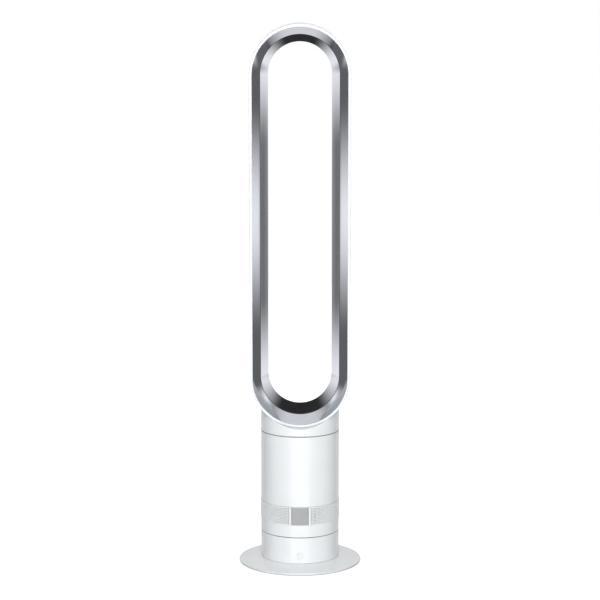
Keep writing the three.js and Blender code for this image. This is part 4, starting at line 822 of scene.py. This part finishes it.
def make_display():
    """A bezel flush with the grille and a tinted window set into it."""
    low, high = box_mm("display_bezel")
    half = math.asin(BEZEL_HALF / GRILLE_RADIUS) * GRILLE_RADIUS
    window = math.asin(DISPLAY_WIDTH / 2 / GRILLE_RADIUS) * GRILLE_RADIUS
    bezel = bmesh.new()
    facets = range(DISPLAY_STEPS + 1)
    columns = [-half, *(window * (2 * step / DISPLAY_STEPS - 1) for step in facets), half]
    rows = [low.z, low.z + DISPLAY_RAIL, high.z - DISPLAY_RAIL, high.z]
    across, along = len(columns) - 1, len(rows) - 1
    bmesh.ops.create_grid(bezel, x_segments=across, y_segments=along, size=0.5)
    for vert in bezel.verts:
        column = round((vert.co.x + 0.5) * across)
        row = round((vert.co.y + 0.5) * along)
        vert.co = (columns[column] * MM, 0, rows[row] * MM)
    middle = [
        face for face in bezel.faces
        if abs(face.calc_center_median().x) < window * MM
        and rows[1] * MM < face.calc_center_median().z < rows[2] * MM
    ]
    bmesh.ops.delete(bezel, geom=middle, context="FACES")
    wrap(bezel, GRILLE_RADIUS)
    piece(
        "display_frame", bezel, "white_shell", "tower", "display_bezel",
        wall=BEZEL_WALL, rounding=BEZEL_ROUNDING,
    )
    glass = bmesh.new()
    bmesh.ops.create_grid(glass, x_segments=DISPLAY_STEPS, y_segments=1, size=0.5)
    clear = GAP / 2
    bottom = rows[1] + clear
    top = rows[2] - clear
    for vert in glass.verts:
        height = bottom + (vert.co.y + 0.5) * (top - bottom)
        vert.co = (2 * vert.co.x * (window - clear) * MM, WINDOW_INSET * MM, height * MM)
    wrap(glass, GRILLE_RADIUS)
    piece(
        "display_glass", glass, "display_tint", "tower", "display_window",
        wall=WINDOW_WALL, rounding=WINDOW_ROUNDING,
    )


# ---------------------------------------------------------------- air loop

def make_loop_casing():
    """The white casing: a flat rim in front, a round back, and a lip behind the air slot."""
    crown = THROAT_RADIUS + BACK_CROWN
    lip = THROAT_RADIUS + LIP_OFFSET
    nose = THROAT_RADIUS + NOSE_RADIUS
    lip_y = THROAT_Y + math.sqrt((NOSE_RADIUS + SLOT_WIDTH) ** 2 - (nose - lip - LOOP_WALL) ** 2)
    shoulder = LOOP_BACK - BACK_ROUNDING

    def arc(centre, radii, start, end, steps):
        """Points of a profile on an ellipse's arc, from one angle to another."""
        angles = [math.radians(start + (end - start) * step / steps) for step in range(steps + 1)]
        return [
            (centre[0] + radii[0] * math.cos(angle), centre[1] + radii[1] * math.sin(angle), 0)
            for angle in angles
        ]

    outward = LOOP_RADIUS - crown
    inward = crown - lip
    depth = LOOP_BACK - lip_y
    rim_inner = LOOP_RADIUS - RIM_WIDTH
    rim_back = LOOP_FRONT + RIM_THICKNESS
    casing = racetrack([
        (rim_inner, rim_back, 0), (rim_inner, LOOP_FRONT, RIM_INNER_ROUNDING),
        (LOOP_RADIUS, LOOP_FRONT, RIM_ROUNDING),
        *arc((crown, shoulder), (outward, BACK_ROUNDING), 0, 90, BACK_STEPS),
        *arc((crown, lip_y), (inward, depth), 90, 180, BACK_STEPS)[1:],
        *arc((crown, lip_y), (inward - LOOP_WALL, depth - LOOP_WALL), 180, 90, BACK_WALL_STEPS),
        *arc(
            (crown, shoulder), (outward - LOOP_WALL, BACK_ROUNDING - LOOP_WALL), 90, 0,
            BACK_WALL_STEPS,
        )[1:],
        (LOOP_RADIUS - LOOP_WALL, rim_back, 0),
    ])
    piece("loop_casing", casing, "white_shell", "tower", "loop_outer_casing")


def make_trim():
    """The front cone, with a hook under the rim and a flange at the crease."""
    front = LOOP_RADIUS - RIM_WIDTH - GAP
    front_y = LOOP_FRONT + TRIM_INSET
    back_y = CREASE_Y - GAP
    slope = (front - CREASE_RADIUS) / (back_y - front_y)
    wall = RING_WALL * math.hypot(1, slope)
    hook_front = LOOP_FRONT + RIM_THICKNESS + GAP
    hook_back = hook_front + RING_WALL
    hook = LOOP_RADIUS - LOOP_WALL - GAP
    edge = CREASE_RADIUS + CREASE_SHADOW_WIDTH
    edge_y = back_y - CREASE_SHADOW_WIDTH / slope
    flange = CREASE_RADIUS + RING_FLANGE + RING_WALL
    flange_y = back_y - RING_WALL
    trim = racetrack([
        (front, front_y, SOFT_EDGE), (edge, edge_y, 0), (edge, back_y, 0), (flange, back_y, 0),
        (flange, flange_y, 0), (front - slope * (flange_y - front_y) + wall, flange_y, 0),
        (front - slope * (hook_back - front_y) + wall, hook_back, 0),
        (hook, hook_back, 0), (hook, hook_front, 0), (front, hook_front, 0),
    ])
    piece("trim_cone", trim, "nickel_coat", "tower", "front_trim")


def make_crease_shadow_strip():
    """A black strip between the trim and the ramp that paints the shadow of the gap in the crease.
    """
    outer = CREASE_RADIUS + RING_FLANGE
    front = SHADOW_STRIP_SEAT - SHADOW_STRIP_THICKNESS
    shadow_strip = racetrack([
        (CREASE_RADIUS, front, 0), (outer, front, 0), (outer, SHADOW_STRIP_SEAT, 0),
        (CREASE_RADIUS, SHADOW_STRIP_SEAT, 0),
    ])
    # a black strip put where there is only shade: painted shadow in the crease
    piece("crease_shadow_strip", shadow_strip, "black_rubber", "tower")


def make_ramp():
    """The wall that the air flows along, its rolled nose at the slot, and ribs to the casing."""
    nose = THROAT_RADIUS + NOSE_RADIUS
    run = Vector((nose - CREASE_RADIUS, THROAT_Y - CREASE_Y))
    heading = math.atan2(run.y, run.x)

    def curl(radius, steps):
        """Points of a profile round the nose, from where the ramp touches it."""
        touch = heading + math.pi - math.acos(radius / run.length)
        angles = [touch * (1 - step / steps) for step in range(steps + 1)]
        return [(nose + radius * math.cos(a), THROAT_Y + radius * math.sin(a), 0) for a in angles]

    outside = curl(NOSE_RADIUS, NOSE_STEPS)
    inside = curl(NOSE_RADIUS - RING_WALL, NOSE_WALL_STEPS)[::-1]
    slope = (CREASE_RADIUS - outside[0][0]) / (outside[0][1] - CREASE_Y)
    wall = RING_WALL * math.hypot(1, slope)
    flange = CREASE_RADIUS + RING_FLANGE
    ramp = racetrack([
        (CREASE_RADIUS, CREASE_Y, 0), *outside, *inside,
        (CREASE_RADIUS - slope * RING_WALL + wall, CREASE_Y + RING_WALL, 0),
        (flange, CREASE_Y + RING_WALL, 0), (flange, SHADOW_STRIP_SEAT, 0),
        (CREASE_RADIUS, SHADOW_STRIP_SEAT, 0),
    ])
    count = 2 * int((HIGH_CENTRE - LOW_CENTRE) / 2 / RIB_SPACING)
    inner = THROAT_RADIUS + LIP_OFFSET + GAP
    front = THROAT_Y + NOSE_RADIUS / 2
    size = Vector((nose + RING_WALL - inner, NOSE_RADIUS / 2 + SLOT_WIDTH - 2 * GAP, RIB_WIDTH))
    for index in range(count):
        height = (LOW_CENTRE + HIGH_CENTRE) / 2 + (index - (count - 1) / 2) * RIB_SPACING
        for side in (-1, 1):
            middle = Vector((side * (inner + size.x / 2), front + size.y / 2, height))
            place = Matrix.Translation(middle * MM) @ Matrix.Diagonal((*(size * MM), 1))
            bmesh.ops.create_cube(ramp, size=1, matrix=place)
    piece("air_ramp", ramp, "nickel_coat", "tower", "diffuser_ring")


# ---------------------------------------------------------------- room and light

FILL = 0.31                # of the room's even light
FLOOR_RADIUS = 6.0         # metres
FLOOR_STEPS = 96
FLOOR_GLOW = 0.73          # lifts the floor to white for the camera
PAINTED_SHADE_REACH = 0.02       # metres from the foot within which that glow fades, a painted contact shadow

# What the metal mirrors, by direction. Angles are in degrees: the opening is measured from
# the way back through the loop, the climb from level to straight up. Each row gives the
# angles where a change starts and ends, and the tones there.
CARD_TILT = 6.7
PALE = 0.95
RAMP_BELOW = (-72, -32, 0.03, PALE)
RAMP_ABOVE = (-14, 50, PALE, 0.025)
TRIM_BELOW = (-42, -76, 0.13, 0.75)
TRIM_ABOVE = (12, 72, 0.12, 0.72)
BORDER = (0, 90, 48.5, 52.0)   # by climb, the opening between the ramp's and the trim's cards
BORDER_BLUR = 3.0
CENTRE = (37.0, 28.0)
FAR_SIDE = (80.0, 100.0)
FAR_TONE = 0.6
CAMERA_SIDE = (32.0, 24.0)
CAMERA_GLOW = 2.0

# name, place, target, size in metres, and watts
LAMPS = (
    ("front_softbox", (0, -3.2, 1.6), (0, 0, 0.5), (1.2, 2.4), 88),
    ("top_softbox", (0, 0, 2.9), (0, 0, 0), (1.6, 1.6), 6),
    ("back_softbox", (0, 3.2, 1.6), (0, 0, 0.5), (1.2, 2.4), 15),
)
# name, place on the right, size in metres, tone, and soft share of each edge
CARDS = (
    ("side_glow", (0.5325, 0.400, 0.569), (0.093, 0.53), PALE, (0.086, 0.5)),
    ("side_flag", (0.580, 0.700, 0.530), (0.09, 0.739), 0.09, (0.5, 0.27)),
)

CAMERA_PLACE = (0, -3.850, 1.0915)
CAMERA_PITCH = math.radians(81.215)
CAMERA_LENS = 125.84
CAMERA_SENSOR = 36.0


def stand(name, mesh):
    """Puts a mesh into the scene as a thing of the studio."""
    data = bpy.data.meshes.new(name)
    mesh.to_mesh(data)
    mesh.free()
    made = bpy.data.objects.new(name, data)
    bpy.context.scene.collection.objects.link(made)
    return made


def aim(made, place, target, axis, up):
    """Moves a thing of the studio and points one of its axes at a target."""
    made.location = place
    made.rotation_euler = (Vector(target) - Vector(place)).to_track_quat(axis, up).to_euler()


def make_floor():
    """A pale disc that keeps the fan's shadow and is white to the camera; near the foot its glow
    fades as a painted contact shadow.
    """
    mesh = bmesh.new()
    bmesh.ops.create_circle(mesh, segments=FLOOR_STEPS, radius=FLOOR_RADIUS, cap_ends=True)
    floor = stand("floor", mesh)
    floor.visible_glossy = False
    pale = Finish("pale_floor", Base_Color=colour(0.8, 0.8, 0.8), Roughness=0.9)
    seen = pale.node("ShaderNodeLightPath", output="Is Camera Ray")
    # ambient occlusion darkens the floor's glow next to the foot: a painted contact shadow
    painted_contact_shade = pale.node("ShaderNodeAmbientOcclusion", output="AO")
    painted_contact_shade.socket.node.inputs["Distance"].default_value = PAINTED_SHADE_REACH
    emission = pale.mix(seen * painted_contact_shade, colour(0, 0, 0), colour(1, 1, 1))
    pale.feed("Emission Color", emission)
    pale.shader.inputs["Emission Strength"].default_value = FLOOR_GLOW
    floor.data.materials.append(pale.material)


def make_world():
    """White behind the fan, a plain fill, and pale and dark cards that only gloss sees."""
    world = bpy.data.worlds.new("studio")
    bpy.context.scene.world = world
    graph = Graph(world)
    background = graph.tree.nodes["Background"]
    background.inputs["Color"].default_value = colour(1, 1, 1)
    heading = graph.node("ShaderNodeTexCoord", output="Generated")
    tilt = math.radians(CARD_TILT)
    ahead = graph.dot(heading, (0, math.cos(tilt), math.sin(tilt)))
    above = graph.dot(heading, (0, -math.sin(tilt), math.cos(tilt)))
    aside = graph.dot(heading, (1, 0, 0)).absolute()
    opening = ahead.math("ARCCOSINE") * math.degrees(1)
    climb = above.math("ARCTAN2", aside) * math.degrees(1)
    inner = climb.between(*RAMP_BELOW).smallest(climb.between(*RAMP_ABOVE))
    outer = climb.between(*TRIM_BELOW).largest(climb.between(*TRIM_ABOVE))
    border = climb.absolute().between(*BORDER)
    split = (opening - border).between(-BORDER_BLUR, BORDER_BLUR)
    cards = inner + (outer - inner) * split
    cards = cards + (PALE - cards) * opening.between(*CENTRE)
    cards = cards + (FAR_TONE - cards) * opening.between(*FAR_SIDE)
    sway = aside.math("ARCTAN2", graph.dot(heading, (0, -1, 0))) * math.degrees(1)
    cards = cards + sway.between(*CAMERA_SIDE) * CAMERA_GLOW
    path = graph.node("ShaderNodeLightPath").socket.node.outputs
    gloss = Value(graph, path["Is Glossy Ray"])
    seen = Value(graph, path["Is Camera Ray"])
    tone = FILL + (cards - FILL) * gloss
    tone = tone + (1.0 - tone) * seen
    graph.tree.links.new(tone.socket, background.inputs["Strength"])


def make_card(name, place, size, tone, soft):
    """A card with soft edges that only gloss sees, upright and turned to the fan's axis."""
    mesh = bmesh.new()
    bmesh.ops.create_grid(mesh, x_segments=1, y_segments=1, size=0.5)
    card = stand(name, mesh)
    aim(card, place, (0, 0, place[2]), "Z", "Y")
    card.scale = (*size, 1)
    finish = Finish(name)
    x, y, _ = finish.axes(finish.place())
    mask = x.absolute().between(0.5, 0.5 - soft[0]) * y.absolute().between(0.5, 0.5 - soft[1])
    glow = finish.node("ShaderNodeEmission", None, [colour(tone, tone, tone), 1.0])
    clear = finish.node("ShaderNodeBsdfTransparent")
    blend = finish.node("ShaderNodeMixShader", None, [mask, clear, glow])
    output = finish.tree.nodes["Material Output"]
    finish.tree.links.new(blend.socket, output.inputs["Surface"])
    finish.tree.nodes.remove(finish.shader)
    card.data.materials.append(finish.material)
    card.visible_camera = False
    card.visible_diffuse = False
    card.visible_shadow = False
    card.visible_transmission = False


def make_lamp(name, place, target, size, power):
    """A soft lamp that lights the fan and isn't mirrored in it."""
    light = bpy.data.lights.new(name, "AREA")
    light.shape = "RECTANGLE"
    light.size, light.size_y = size
    light.energy = power
    lamp = bpy.data.objects.new(name, light)
    aim(lamp, place, target, "-Z", "Y")
    lamp.visible_camera = False
    lamp.visible_glossy = False
    bpy.context.scene.collection.objects.link(lamp)


def make_camera():
    """The photograph's camera, fitted at the fan's real height."""
    data = bpy.data.cameras.new("camera")
    data.lens = CAMERA_LENS
    data.sensor_width = CAMERA_SENSOR
    camera = bpy.data.objects.new("camera", data)
    camera.location = CAMERA_PLACE
    camera.rotation_euler = (CAMERA_PITCH, 0, 0)
    bpy.context.scene.collection.objects.link(camera)
    bpy.context.scene.camera = camera


# ---------------------------------------------------------------- the fan

make_camera()
make_world()
make_floor()
for lamp in LAMPS:
    make_lamp(*lamp)
for side in (-1, 1):
    for card, (across, back, height), *look in CARDS:
        make_card(card, (side * across, back, height), *look)
make_foot()
make_foot_screws()
make_lower_housing()
make_button()
make_gland()
make_column_skins()
make_neck()
make_grille()
make_display()
make_loop_casing()
make_trim()
make_crease_shadow_strip()
make_ramp()

for part in frame["record"]["subparts"]:
    solid = bpy.data.objects[part["node"]]
    solid.data.materials.clear()
    solid.data.materials.append(FINISHES[part["material_slot"]])

scene = bpy.context.scene
scene.view_settings.view_transform = "Standard"
